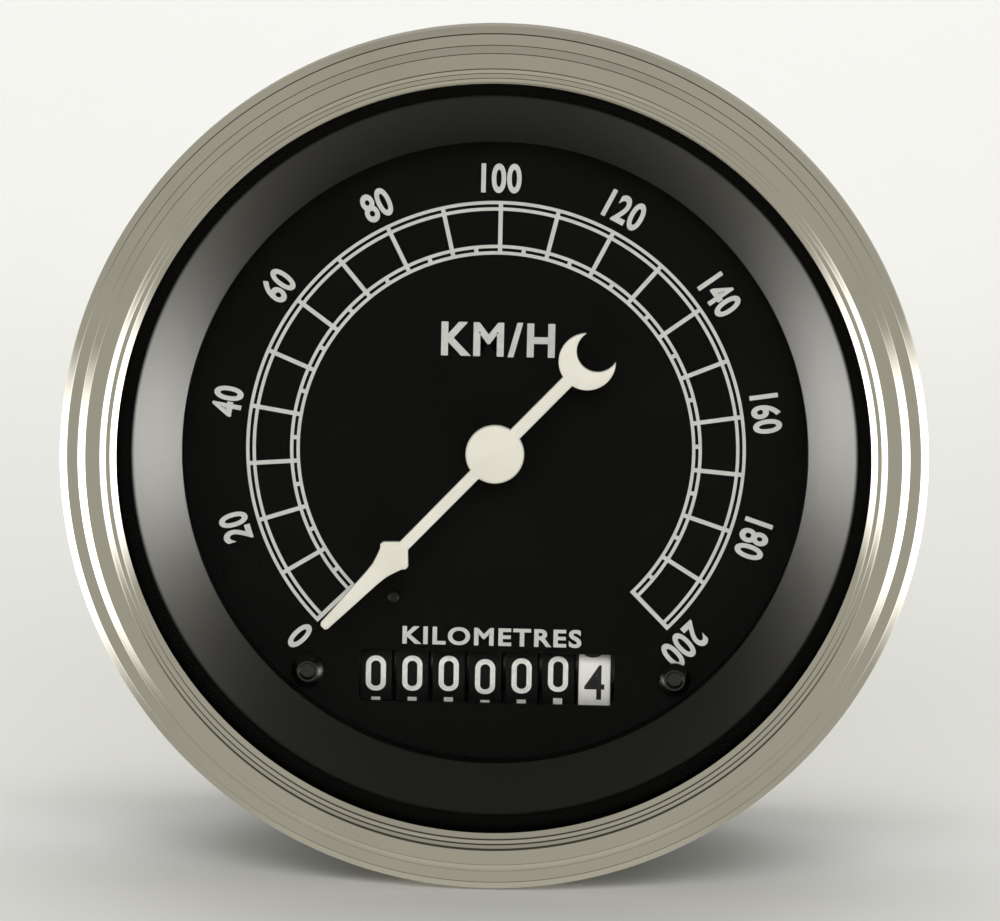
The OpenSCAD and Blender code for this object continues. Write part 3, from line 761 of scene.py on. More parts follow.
def new_object(name: str, data: bpy.types.ID) -> bpy.types.Object:
    """Puts a new object in the scene.

    Args:
        name: its name.
        data: its mesh, lamp or camera data.

    Returns:
        The object.
    """
    thing = bpy.data.objects.new(name, data)
    bpy.context.scene.collection.objects.link(thing)
    return thing


def place_piece(name: str, mesh: Shape, finish: Finish, body: str,
                replaces: tuple[str, ...] = (), sharp: float = 32.0) -> None:
    """Makes a finished piece that moves with its body.

    Args:
        name: the piece's name.
        mesh: its shape, in the model's frame.
        finish: its surface.
        body: the body that it rides on.
        replaces: the CAD nodes that it stands for.
        sharp: crease angle in degrees, above which an edge stays sharp.
    """
    data = smooth_mesh(name, mesh)
    data.set_sharp_from_angle(angle=math.radians(sharp))
    data.materials.append(finish.material())
    piece = new_object(name, data)
    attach(piece, body)
    if replaces:
        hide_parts(*replaces)
    LOG.info("%s: %d faces on %s", name, len(data.polygons), body)


@dataclass
class BezelAndGlass:
    """The stepped chrome ring, the flat glass under its lip and the black visor behind."""

    outer_radius: float = 47.0 * MM
    sight_radius: float = 40.8 * MM
    barrel_gap_radius: float = 43.4 * MM
    cavity_radius: float = 45.0 * MM
    crimp_forward: float = 0.6 * MM
    lip_forward: float = 4.6 * MM
    outer_flat: float = 5.4 * MM
    inner_flat: float = 6.3 * MM
    back_chamfer: Pair = (0.25 * MM, 0.4 * MM)  # along the radius, forward
    shoulder: Pair = (0.8 * MM, 0.75 * MM)  # the same
    step_reaches: Pair = (2.05 * MM, 2.85 * MM)
    slope_reaches: tuple[float, float, float] = (1.7 * MM, 1.15 * MM, 0.66 * MM)
    slope_drops: Pair = (0.495 * MM, 0.595 * MM)
    glass_edge: float = 0.25 * MM
    visor_outer: float = 44.7 * MM
    visor_top: float = 39.2 * MM
    visor_foot: float = 34.0 * MM
    visor_lip: Pair = (0.25 * MM, 0.15 * MM)  # along the radius, forward
    visor_flange: Pair = (1.4 * MM, 2.2 * MM)  # its two faces
    visor_edge: float = -0.5 * MM
    visor_foot_forward: float = -3.8 * MM
    visor_wall: float = 0.8 * MM

    def build(self) -> None:
        """Builds every piece."""
        self._bezel()
        self._glass()
        self._visor()

    def _bezel(self) -> None:
        """Turns the bezel: an outer flat, a step up to an inner flat and two slopes to the glass."""
        big, sight = self.outer_radius, self.sight_radius
        slope_top, ledge_out, ledge_in = (sight + reach for reach in self.slope_reaches)
        ledge = self.inner_flat - self.slope_drops[0]
        corners = [
            (self.barrel_gap_radius, 0.0), (big - self.back_chamfer[0], 0.0), (big, self.back_chamfer[1]),
            (big, self.outer_flat - self.shoulder[1]), (big - self.shoulder[0], self.outer_flat),
            (big - self.step_reaches[0], self.outer_flat), (big - self.step_reaches[1], self.inner_flat),
            (slope_top, self.inner_flat), (ledge_out, ledge),
            (ledge_in, ledge), (sight, ledge - self.slope_drops[1]),
            (sight, self.lip_forward), (self.cavity_radius, self.lip_forward),
            (self.cavity_radius, self.crimp_forward), (self.barrel_gap_radius, self.crimp_forward),
        ]
        radii = {1: 0.1 * MM, 2: 0.3 * MM, 3: 0.35 * MM, 4: 0.32 * MM, 5: 0.2 * MM, 6: 0.2 * MM,
                 7: 0.6 * MM, 8: 0.4 * MM, 9: 0.4 * MM, 10: 0.1 * MM}
        mesh = lathe(rounded(corners, radii, 7), 288)
        place_piece("bezel_ring", mesh, CHROME, "housing", ("bezel",), 40.0)

    def _glass(self) -> None:
        """Turns the glass with ground edges."""
        low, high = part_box("lens")
        back, front = -high.y, -low.y
        radius, edge = self.visor_outer, self.glass_edge
        outline = [(0.0, back), (radius - edge, back), (radius, back + edge),
                   (radius, front - edge), (radius - edge, front), (0.0, front)]
        mesh = lathe(outline, 192, closed=False)
        place_piece("glass_pane", mesh, PANE, "housing", ("lens",))

    def _visor(self) -> None:
        """Turns the visor: a flange under the glass, a shallow cone and a skirt down to the dial."""
        back, front = self.visor_flange
        edge, wall = self.visor_edge, self.visor_wall
        rise = (front - edge) / (self.visor_top - self.visor_foot)
        corners = [
            (self.visor_outer, back), (self.visor_outer, front),
            (self.visor_top + self.visor_lip[0], front),
            (self.visor_top, front - self.visor_lip[1]), (self.visor_foot, edge),
            (self.visor_foot, self.visor_foot_forward), (self.visor_foot + wall, self.visor_foot_forward),
            (self.visor_foot + wall, edge - wall + wall * rise),
            (self.visor_foot + (back - edge + wall) / rise, back),
        ]
        radii = {2: 0.12 * MM, 3: 0.2 * MM, 4: 0.12 * MM, 5: 0.08 * MM}
        mesh = lathe(rounded(corners, radii, 3), 256)
        place_piece("visor_ring", mesh, VISOR, "housing", ("visor",), 50.0)


@dataclass
class DialFace:
    """The black dial plate with its window, printing, screws and stop pin."""

    radius: float = 40.6 * MM
    edge: float = 0.12 * MM
    shaft_hole: float = 2.6 * MM
    screw_hole: float = 1.1 * MM
    window: Pair = (28.0 * MM, 5.7 * MM)  # width, height
    window_centre: Pair = (-0.5 * MM, -25.2 * MM)
    window_corner: float = 0.6 * MM
    ink: float = 0.035 * MM
    line: float = 0.36 * MM
    tick: float = 0.46 * MM
    ring_radii: tuple[float, ...] = (27.1 * MM, 26.4 * MM, 22.3 * MM, 21.6 * MM)
    zero_angle: float = 225.0
    sweep: float = 270.0
    top_speed: int = 200
    number_radius: float = 29.75 * MM
    number_height: float = 3.25 * MM
    number_weight: float = 0.03
    word_spacing: float = 1.16
    words: tuple[tuple[str, float, float, float], ...] = (  # text, height, width, place up
        ("KM/H", 3.8 * MM, 12.4 * MM, 12.1 * MM), ("KILOMETRES", 2.0 * MM, 19.6 * MM, -20.65 * MM))
    stroke_passes: tuple[Pair, ...] = ((0.03, 1.0), (0.0, 0.8))  # weight, share of the ink
    screw_place: Pair = (20.1 * MM, -24.8 * MM)
    screw_head: float = 1.8 * MM
    screw_shank: float = 1.0 * MM
    pin_place: Pair = (-10.7 * MM, -15.9 * MM)
    pin_radius: float = 0.7 * MM
    pin_foot: float = 1.2 * MM

    def build(self) -> None:
        """Builds every piece."""
        low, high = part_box("dial")
        self.front, self.back = -low.y, -high.y
        self._plate()
        self._rings_and_ticks()
        self._numbers()
        for side, word in SIDES:
            self._screw(side, f"dial_screw_{word}")
        self._pin()

    def _plate(self) -> None:
        """Cuts the plate with its odometer window and holes."""
        opening = rounded_box(self.window_centre, self.window[0] / 2, self.window[1] / 2,
                              self.window_corner, 6)
        loops = [circle(self.radius, steps=192), opening, circle(self.shaft_hole, steps=48)]
        for side in (-1, 1):
            place = (side * self.screw_place[0], self.screw_place[1])
            loops.append(circle(self.screw_hole, place, 24))
        mesh = cut_plate(loops, self.back, self.front, self.edge)
        place_piece("dial_plate", mesh, DIAL_BLACK, "housing", ("dial",), 30.0)

    def _angle(self, speed: float) -> float:
        """The angle of a speed, in degrees clockwise from the top."""
        return self.zero_angle + self.sweep * speed / self.top_speed

    def _bar(self, speed: float, inner: float, outer: float, width: float) -> Shape:
        """Prints one radial line.

        Args:
            speed: the speed that it marks.
            inner: radius at which it starts.
            outer: radius at which it ends.
            width: how wide it is.

        Returns:
            The line of ink.
        """
        middle, length = (inner + outer) / 2, outer - inner
        thick = 0.8 * self.ink
        mesh = bmesh.new()
        place = Matrix.Rotation(math.radians(self._angle(speed)), 4, "Y") @ Matrix.Translation(
            (0, -self.front - thick / 2, middle)) @ Matrix.Diagonal((width, thick, length, 1))
        bmesh.ops.create_cube(mesh, size=1.0, matrix=place)
        return mesh

    def _ring(self, radius: float) -> Shape:
        """Prints one arc from zero to top speed.

        Args:
            radius: the radius of its middle.

        Returns:
            The arc of ink.
        """
        reach = self.line / 2
        start = Matrix.Rotation(math.radians(self._angle(0)), 4, "Y")
        section = [start @ Vector((0, -self.front - lift, radius + side))
                   for side, lift in ((-reach, 0.0), (reach, 0.0), (reach, self.ink), (-reach, self.ink))]
        return swept(section, (0.0, 0.0), math.radians(self.sweep), 180)

    def _rings_and_ticks(self) -> None:
        """Prints the two double rings and the speed ticks between them."""
        outer, _, middle, inner = self.ring_radii
        reach = self.line / 2
        parts = [self._ring(radius) for radius in self.ring_radii]
        for speed in range(0, self.top_speed + 1, 5):
            end = middle if speed % 10 else outer
            parts.append(self._bar(speed, inner - reach, end + reach, self.tick))
        place_piece("scale_print", joined(parts), INK, "housing")

    def _numbers(self) -> None:
        """Prints the speeds, tops outwards, and the units."""
        parts = []
        for speed in range(0, self.top_speed + 1, 20):
            figures = lettering(str(speed), self.number_height, None, self.number_weight, self.ink)
            turn = Matrix.Rotation(math.radians(self._angle(speed)), 4, "Y")
            shift = Matrix.Translation((0, -self.front, self.number_radius))
            bmesh.ops.transform(figures, matrix=turn @ shift, verts=figures.verts)
            parts.append(figures)
        for text, height, width, up in self.words:
            for weight, share in self.stroke_passes:
                words = lettering(text, height, width, weight, share * self.ink, self.word_spacing)
                bmesh.ops.translate(words, vec=(0, -self.front, up), verts=words.verts)
                parts.append(words)
        place_piece("number_print", joined(parts), INK, "housing")

    def _screw(self, side: int, name: str) -> None:
        """Turns a pan-head screw with a round recess.

        Args:
            side: -1 for the left one, 1 for the right.
            name: its CAD node.
        """
        centre = (side * self.screw_place[0], self.screw_place[1])
        head, shank = self.screw_head, self.screw_shank
        base, tip = self.front, -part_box(name)[1].y
        corners = [(0.0, base + 0.35 * MM), (0.75 * MM, base + 0.5 * MM), (0.9 * MM, base + 1.15 * MM),
                   (1.15 * MM, base + 1.15 * MM), (head, base + 0.75 * MM), (head, base),
                   (shank, base), (shank, tip), (0.0, tip)]
        outline = rounded(corners, {2: 0.08 * MM, 3: 0.15 * MM, 4: 0.1 * MM, 5: 0.08 * MM})
        mesh = lathe(outline, 48, centre, closed=False)
        place_piece(name + "_head", mesh, SCREW_BLACK, "housing", (name,))

    def _pin(self) -> None:
        """Turns the pointer's stop pin with a rounded end."""
        low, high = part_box("stop_pin")
        front, back = -low.y, -high.y
        post, foot = self.pin_radius, self.pin_foot
        corners = [(0.0, front), (post, front), (post, self.back), (foot, self.back),
                   (foot, back), (0.0, back)]
        mesh = lathe(rounded(corners, {1: 0.3 * MM, 4: 0.1 * MM}), 32, self.pin_place, closed=False)
        place_piece("stop_post", mesh, BLACK_STEEL, "housing", ("stop_pin",))


@dataclass
class Needle:
    """The cream pointer: a blade with an arrow head, and an open-jaw tail."""

    rest_angle: float = 223.4
    hub_radius: float = 3.2 * MM
    reach: float = 26.75 * MM
    blade: float = 0.625 * MM
    shoulder: float = 14.1 * MM
    wing: Pair = (15.65 * MM, 1.96 * MM)
    shank: float = 0.7 * MM
    thickness: float = 1.0 * MM
    socket: Pair = (1.8 * MM, 0.75 * MM)  # outer radius, bore radius
    jaw_centre: float = 14.3 * MM
    jaw_radius: float = 3.12 * MM
    mouth_centre: float = 15.9 * MM
    mouth_radius: float = 2.27 * MM
    tips: float = 16.4 * MM

    def build(self) -> None:
        """Builds the pointer as one flat piece with rounded edges and a low domed hub."""
        low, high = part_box("pointer")
        front = -low.y
        back = front - self.thickness
        turn = math.radians(90 - self.rest_angle)
        turned = [(x * math.cos(turn) - y * math.sin(turn), x * math.sin(turn) + y * math.cos(turn))
                  for x, y in self._outline()]
        blade = cut_plate([turned], back, front - 0.1 * MM, 0.12 * MM)
        hub, (outside, bore) = self.hub_radius, self.socket
        corners = [(0.0, front), (hub, front - 0.05 * MM), (hub, back), (outside, back),
                   (outside, -high.y), (bore, -high.y), (bore, back + 0.1 * MM), (0.0, back + 0.1 * MM)]
        disc = lathe(rounded(corners, {1: 0.3 * MM, 2: 0.1 * MM}), 96, closed=False)
        place_piece("needle_blade", joined([blade, disc]), CREAM, "needle",
                    ("pointer",), 30.0)

    def _outline(self) -> Outline:
        """Draws the pointer with its tip along +x and its jaw along -x.

        Returns:
            The closed outline.
        """
        wing_at, wing_out = self.wing
        upper = [
            (0.0, self.blade), (self.shoulder, self.blade), (wing_at - 0.3 * MM, wing_out - 0.05 * MM),
            (wing_at + 0.15 * MM, wing_out), (wing_at + 0.45 * MM, wing_out - 0.3 * MM),
            (16.9 * MM, 1.36 * MM), (17.9 * MM, 1.05 * MM), (19.1 * MM, 0.92 * MM),
            (self.reach - 0.25 * MM, 0.52 * MM), (self.reach, 0.3 * MM),
        ]
        lower = [(x, -y) for x, y in reversed(upper)]
        neck = -0.2 * MM
        return upper + lower[:-1] + [(neck, -self.shank)] + self._jaw() + [(neck, self.shank)]

    def _jaw(self) -> Outline:
        """Draws the open jaw, from the lower side of the shank round to the upper side.

        Returns:
            The open outline.
        """
        join = math.degrees(math.asin(self.shank / self.jaw_radius))
        reach_out = self.tips - self.jaw_centre
        outer_end = math.degrees(math.acos(-reach_out / self.jaw_radius))
        reach_in = self.tips - self.mouth_centre
        inner_end = math.degrees(math.acos(-reach_in / self.mouth_radius))
        lower = arc_points((-self.jaw_centre, 0.0), self.jaw_radius, -join, -outer_end, 20)
        mouth = arc_points((-self.mouth_centre, 0.0), self.mouth_radius, -inner_end, inner_end, 28)
        upper = arc_points((-self.jaw_centre, 0.0), self.jaw_radius, outer_end, join, 20)
        return lower + mouth + upper


@dataclass
class Counter:
    """The seven number drums of the odometer."""

    radius: float = 7.65 * MM
    rim_inside: float = 6.65 * MM
    web: float = 0.35 * MM
    hub: float = 1.7 * MM
    bore: float = 1.25 * MM
    drums: int = 7
    reading: tuple[float, ...] = (0, 0, 0, 0, 0, 0, 3.9)
    print_drift: tuple[float, ...] = (5.2, 4.6, 4.05, 6.05, 4.65, 2.3, 5.15)
    figure_height: float = 4.0 * MM
    figure_width: float = 2.2 * MM
    one_share: float = 0.45
    figure_weight: float = 0.01
    figure_step: float = 36.0
    nought_corner: float = 0.96
    stroke: float = 0.56 * MM
    ink: float = 0.03 * MM
    cuts: int = 8

    def build(self) -> None:
        """Builds each drum with its ten figures."""
        for index in range(self.drums):
            node = f"drum_{index + 1}"
            low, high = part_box(node)
            axis = Vector(((low.x + high.x) / 2, (low.y + high.y) / 2, (low.z + high.z) / 2))
            last = index == self.drums - 1
            body = "tenths" if last else f"number_{index + 1}"
            rim = self._drum(axis, (high.x - low.x) / 2 - 0.05 * MM)
            place_piece(f"number_drum_{index + 1}", rim, DRUM_WHITE if last else DRUM_BLACK,
                        body, (node,), 40.0)
            figures = self._figures(axis, self.reading[index], self.print_drift[index])
            place_piece(f"drum_figures_{index + 1}", figures,
                        DRUM_INK_BLACK if last else DRUM_INK_WHITE, body)

    def _drum(self, axis: Vector, half: float) -> Shape:
        """Turns one drum: rim, web and hub.

        Args:
            axis: its middle.
            half: half its width.

        Returns:
            The drum.
        """
        edge, corner, proud = 0.12 * MM, 0.2 * MM, 0.05 * MM
        corners = [
            (self.bore, -half - proud), (self.hub, -half - proud), (self.hub, -self.web),
            (self.rim_inside, -self.web), (self.rim_inside, -half), (self.radius, -half),
            (self.radius, half), (self.rim_inside, half), (self.rim_inside, self.web),
            (self.hub, self.web), (self.hub, half + proud), (self.bore, half + proud),
        ]
        radii = {2: corner, 3: corner, 5: edge, 6: edge, 8: corner, 9: corner}
        mesh = lathe(rounded(corners, radii, 3), 96)
        place = Matrix.Translation(axis) @ Matrix.Rotation(math.pi / 2, 4, "Z")
        bmesh.ops.transform(mesh, matrix=place, verts=mesh.verts)
        return mesh

    def _figures(self, axis: Vector, reading: float, drift: float) -> Shape:
        """Prints 0 to 9 round a drum, with the reading at the front and the next figure below.

        Args:
            axis: the drum's middle.
            reading: what it shows.
            drift: degrees by which its print stands lower.

        Returns:
            The ten figures, bent round the drum.
        """
        parts = []
        for figure in range(10):
            width = self.figure_width * (self.one_share if figure == 1 else 1.0)
            if figure:
                mesh = lettering(str(figure), self.figure_height, width, self.figure_weight, 2 * self.ink)
            else:
                mesh = self._nought()
            for cut in range(1, self.cuts):
                level = (0, 0, self.figure_height * (cut / self.cuts - 0.5))
                bmesh.ops.bisect_plane(mesh, geom=mesh.verts[:] + mesh.edges[:] + mesh.faces[:],
                                       plane_co=level, plane_no=(0, 0, 1))
            centre = -math.radians(self.figure_step * (figure - reading) + drift)
            for vertex in mesh.verts:
                lift = self.radius - self.ink - vertex.co.y
                angle = centre + vertex.co.z / self.radius
                vertex.co = axis + Vector((vertex.co.x, -lift * math.cos(angle), lift * math.sin(angle)))
            parts.append(mesh)
        return joined(parts)

    def _nought(self) -> Shape:
        """Cuts a tall nought with straight sides.

        Returns:
            The figure, flat.
        """
        loops = []
        for inset in (0.0, self.stroke):
            half_w, half_h = self.figure_width / 2 - inset, self.figure_height / 2 - inset
            loops.append(rounded_box((0.0, 0.0), half_w, half_h, half_w * self.nought_corner, 8))
        return cut_plate(loops, 0.0, 2 * self.ink)


@dataclass
class CaseBack:
    """The case can with its spigot, studs, clamp, nuts and lamp holders."""

    barrel: float = 42.4 * MM
    wall: float = 0.8 * MM
    flange: float = 44.7 * MM
    flange_forward: Pair = (0.6 * MM, 1.4 * MM)
    back: float = -55.0 * MM
    floor: float = 1.2 * MM
    corner: float = 1.6 * MM
    stud_x: float = 26.0 * MM
    stud_radius: float = 2.5 * MM
    stud_head: Pair = (1.6 * MM, 1.6 * MM)  # overhang, thickness
    grip: float = 7.0 * MM
    flutes: int = 18
    flute_depth: float = 0.5 * MM
    flute_steps: int = 6
    washer: Pair = (2.5 * MM, 1.0 * MM)  # overhang, thickness
    strap_thick: float = 2.0 * MM
    strap_half: float = 8.0 * MM
    strap_bend: float = 1.5 * MM
    strap_disc: float = 17.04 * MM
    strap_hole: float = 12.54 * MM
    lamp_place: Pair = (24.0 * MM, 21.5 * MM)
    lamp_radius: float = 5.5 * MM
    lamp_bore: float = 4.4 * MM
    lamp_neck: float = 4.6 * MM
    spade: Pair = (6.3 * MM, 0.8 * MM)  # width, thickness
    spigot_radius: float = 7.94 * MM
    spigot_collar: float = 9.14 * MM
    spigot_flange: float = 10.94 * MM
    spigot_bore: float = 5.5 * MM
    spigot_hole: float = 2.9 * MM
    spigot_pitch: float = 1.411 * MM
    stud_pitch: float = 0.8 * MM
    screw_places: tuple[Pair, ...] = ((-14.0 * MM, -14.0 * MM), (14.0 * MM, 14.0 * MM))
    screw_hole: float = 1.6 * MM

    def build(self) -> None:
        """Builds every piece."""
        self._can()
        self._spigot()
        self._clamp()
        for side, word in SIDES:
            self._stud(side, word)
            self._nut(side, word)
            self._lamp(side, word)

    def _can(self) -> None:
        """Draws the can: a rolled flange, a barrel and a back plate with its holes."""
        flange_back, flange_front = self.flange_forward
        inside = self.barrel - self.wall
        floor = self.back + self.floor
        seam = self.barrel - self.corner - 0.4 * MM
        corners = [(seam, self.back), (self.barrel, self.back), (self.barrel, flange_back),
                   (self.flange, flange_back), (self.flange, flange_front), (inside, flange_front),
                   (inside, floor), (seam, floor)]
        radii = {1: self.corner, 2: 0.15 * MM, 3: 0.3 * MM, 4: 0.3 * MM, 5: 0.6 * MM, 6: 0.8 * MM}
        barrel = lathe(rounded(corners, radii, 6), 192)
        loops = [circle(seam, steps=192), circle(self.spigot_collar + 0.1 * MM, steps=64)]
        for side in (-1, 1):
            loops.append(circle(self.stud_radius, (side * self.stud_x, 0.0), 32))
            loops.append(circle(self.lamp_radius, (side * self.lamp_place[0], self.lamp_place[1]), 48))
        loops += [circle(self.screw_hole, place, 24) for place in self.screw_places]
        plate = cut_plate(loops, self.back, floor)
        foot, crest = self.back + 0.1 * MM, self.back - 0.5 * MM
        bead = [(30.6 * MM, foot), (30.9 * MM, crest), (32.1 * MM, crest), (32.4 * MM, foot)]
        ridge = lathe(rounded(bead, {1: 0.3 * MM, 2: 0.3 * MM}), 192)
        place_piece("case_can", joined([barrel, plate, ridge]), CASE_PAINT, "housing",
                    ("case",), 35.0)

    def _spigot(self) -> None:
        """Turns the cable spigot and cuts its thread."""
        low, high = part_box("cable_spigot")
        front, rear = -low.y, -high.y
        core = self.spigot_radius - 0.62 * MM
        flange, neck, stop = front - 1.5 * MM, self.back - 1.0 * MM, rear + 6.0 * MM
        corners = [
            (self.spigot_hole, front), (self.spigot_flange, front), (self.spigot_flange, flange),
            (self.spigot_collar, flange), (self.spigot_collar, neck), (core, neck), (core, rear),
            (self.spigot_bore, rear), (self.spigot_bore, stop), (self.spigot_hole, stop),
        ]
        radii = {1: 0.3 * MM, 4: 0.3 * MM, 5: 0.3 * MM, 6: 0.5 * MM, 7: 0.4 * MM, 8: 0.2 * MM}
        body = lathe(rounded(corners, radii), 96)
        ridge = screw_thread(core, self.spigot_radius, self.spigot_pitch, self.back - 2.0 * MM,
                             rear + 0.6 * MM, steps=64)
        place_piece("threaded_spigot", joined([body, ridge]), SPIGOT_METAL, "housing",
                    ("cable_spigot",), 35.0)

    def _stud(self, side: int, word: str) -> None:
        """Turns one mounting stud, rolls its thread and rivets its head.

        Args:
            side: -1 for the left one, 1 for the right.
            word: the same in its names.
        """
        low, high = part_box(f"stud_{word}")
        front, rear = -low.y, -high.y
        centre = (side * self.stud_x, 0.0)
        core = self.stud_radius - 0.4 * MM
        head, under = self.stud_radius + self.stud_head[0], front - self.stud_head[1]
        corners = [(0.0, front), (head, front), (head, under), (self.stud_radius, under),
                   (self.stud_radius, self.back - 3.0 * MM), (core, self.back - 3.4 * MM),
                   (core, rear), (0.0, rear)]
        body = lathe(rounded(corners, {1: 0.3 * MM, 6: 0.5 * MM}), 40, centre, closed=False)
        ridge = screw_thread(core, self.stud_radius, self.stud_pitch, self.back - 3.6 * MM,
                             rear + 0.5 * MM, centre, 24)
        place_piece(f"threaded_stud_{word}", joined([body, ridge]), STEEL, "housing",
                    (f"stud_{word}",), 35.0)

    def _nut(self, side: int, word: str) -> None:
        """Makes one thumb nut: a knurled grip with a washer face and a bore.

        Args:
            side: -1 for the left one, 1 for the right.
            word: the same in its names.
        """
        low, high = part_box(f"nut_{word}")
        rear, front = -high.y, -low.y
        centre = (side * self.stud_x, 0.0)
        shoulder = front - self.washer[1]
        outline = []
        for step in range(self.flutes * self.flute_steps):
            wave = max(0.0, math.cos(FULL_TURN * step / self.flute_steps)) ** 2
            angle = FULL_TURN * step / (self.flutes * self.flute_steps)
            radius = self.grip - self.flute_depth * wave
            outline.append((centre[0] + radius * math.cos(angle), radius * math.sin(angle)))
        bore = circle(self.stud_radius + 0.05 * MM, centre, 32)
        rim = circle(self.stud_radius + self.washer[0], centre, 48)
        knurl = cut_plate([outline, bore], rear, shoulder, 0.3 * MM)
        washer = cut_plate([rim, bore], shoulder, front, 0.15 * MM)
        place_piece(f"thumb_nut_{word}", joined([knurl, washer]), BRASS, f"{word}_nut",
                    (f"nut_{word}",), 35.0)

    def _clamp(self) -> None:
        """Bends the clamp strap: a pierced middle, two bends and two arms."""
        low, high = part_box("clamp_bracket")
        rear, feet = -high.y, -low.y
        half, front = self.strap_half, rear + self.strap_thick
        inner = high.x - self.strap_thick - self.strap_bend
        join = math.degrees(math.asin(half / self.strap_disc))
        outline = [(inner, -half), (inner, half)]
        outline += arc_points((0.0, 0.0), self.strap_disc, join, 180 - join, 40)
        outline += [(-inner, half), (-inner, -half)]
        outline += arc_points((0.0, 0.0), self.strap_disc, 180 + join, 360 - join, 40)
        loops = [outline, circle(self.strap_hole, steps=72)]
        for side in (-1, 1):
            loops.append(circle(self.stud_radius + 0.3 * MM, (side * self.stud_x, 0.0), 32))
        mesh = cut_plate(loops, rear, front)
        for side in (-1, 1):
            self._bend_arm(mesh, side, inner, front, feet)
        settle(mesh)
        place_piece("clamp_strap", mesh, STRAP_ZINC, "clamp", ("clamp_bracket",), 35.0)

    def _bend_arm(self, mesh: Shape, side: int, inner: float, front: float, feet: float) -> None:
        """Bends one end of the strap forward and runs it on to its foot.

        Args:
            mesh: the strap's flat middle, which grows the arm.
            side: -1 for the left end, 1 for the right.
            inner: where the bend starts, from the middle.
            front: forward place of the middle's front face.
            feet: forward place of the foot.
        """
        bend = self.strap_bend
        ends = [f for f in mesh.faces
                if f.normal.x * side > 0.9 and f.calc_center_median().x * side > inner * 0.99]
        geometry = set(ends)
        for face in ends:
            geometry.update(face.edges)
            geometry.update(face.verts)
        spun = bmesh.ops.spin(mesh, geom=list(geometry), cent=(side * inner, -(front + bend), 0),
                              axis=(0, 0, 1), angle=-side * math.pi / 2, steps=8, use_merge=False)
        tip = [item for item in spun["geom_last"] if isinstance(item, bmesh.types.BMFace)]
        pull(mesh, bmesh.ops.extrude_face_region(mesh, geom=tip), (0, -(feet - front - bend), 0))

    def _lamp(self, side: int, word: str) -> None:
        """Turns one lamp holder and adds its spade terminal.

        Args:
            side: -1 for the left one, 1 for the right.
            word: the same in its names.
        """
        centre = (side * self.lamp_place[0], self.lamp_place[1])
        back, radius, rim = self.back, self.lamp_radius, self.lamp_radius + 1.5 * MM
        bore, neck = self.lamp_bore, self.lamp_neck
        inner, end, floor = back + 6.2 * MM, back - 7.0 * MM, back + 2.0 * MM
        outside = [(bore, inner), (radius, inner), (radius, back), (rim, back), (rim, back - 2.0 * MM),
                   (neck, back - 2.0 * MM), (neck, end), (0.0, end)]
        radii = {1: 0.3 * MM, 3: 0.2 * MM, 4: 0.5 * MM, 5: 0.4 * MM, 6: 0.5 * MM}
        body = lathe(rounded(outside, radii) + [(0.0, floor), (bore, floor)], 64, centre)
        place_piece(f"lamp_socket_{word}", body, LAMP_PLASTIC, "housing",
                    (f"lamp_holder_{word}",), 35.0)
        spade = bmesh.new()
        tip, root = back - 14.0 * MM, back - 6.8 * MM
        size = Matrix.Diagonal((self.spade[0], root - tip, self.spade[1], 1))
        place = Matrix.Translation((centre[0], -(tip + root) / 2, centre[1]))
        bmesh.ops.create_cube(spade, size=1.0, matrix=place @ size)
        edges = []
        for edge in spade.edges:
            first, last = (vertex.co for vertex in edge.verts)
            lengthwise = (last - first).xz.length < MERGE
            if lengthwise or max(abs(first.y + tip), abs(last.y + tip)) < MERGE:
                edges.append(edge)
        break_edges(spade, edges, 0.25 * MM)
        place_piece(f"lamp_terminal_{word}", spade, TINNED, "housing", (), 30.0)


def dress_inner_works(frame: dict) -> None:
    """Gives the CAD pieces that stay their finishes.
    """
    for finish, names in INNER_PIECES.items():
        for name in names:
            materials = frame["nodes"][name].data.materials
            materials.clear()
            materials.append(finish.material())
            LOG.info("%s: finish %s", name, finish.name)


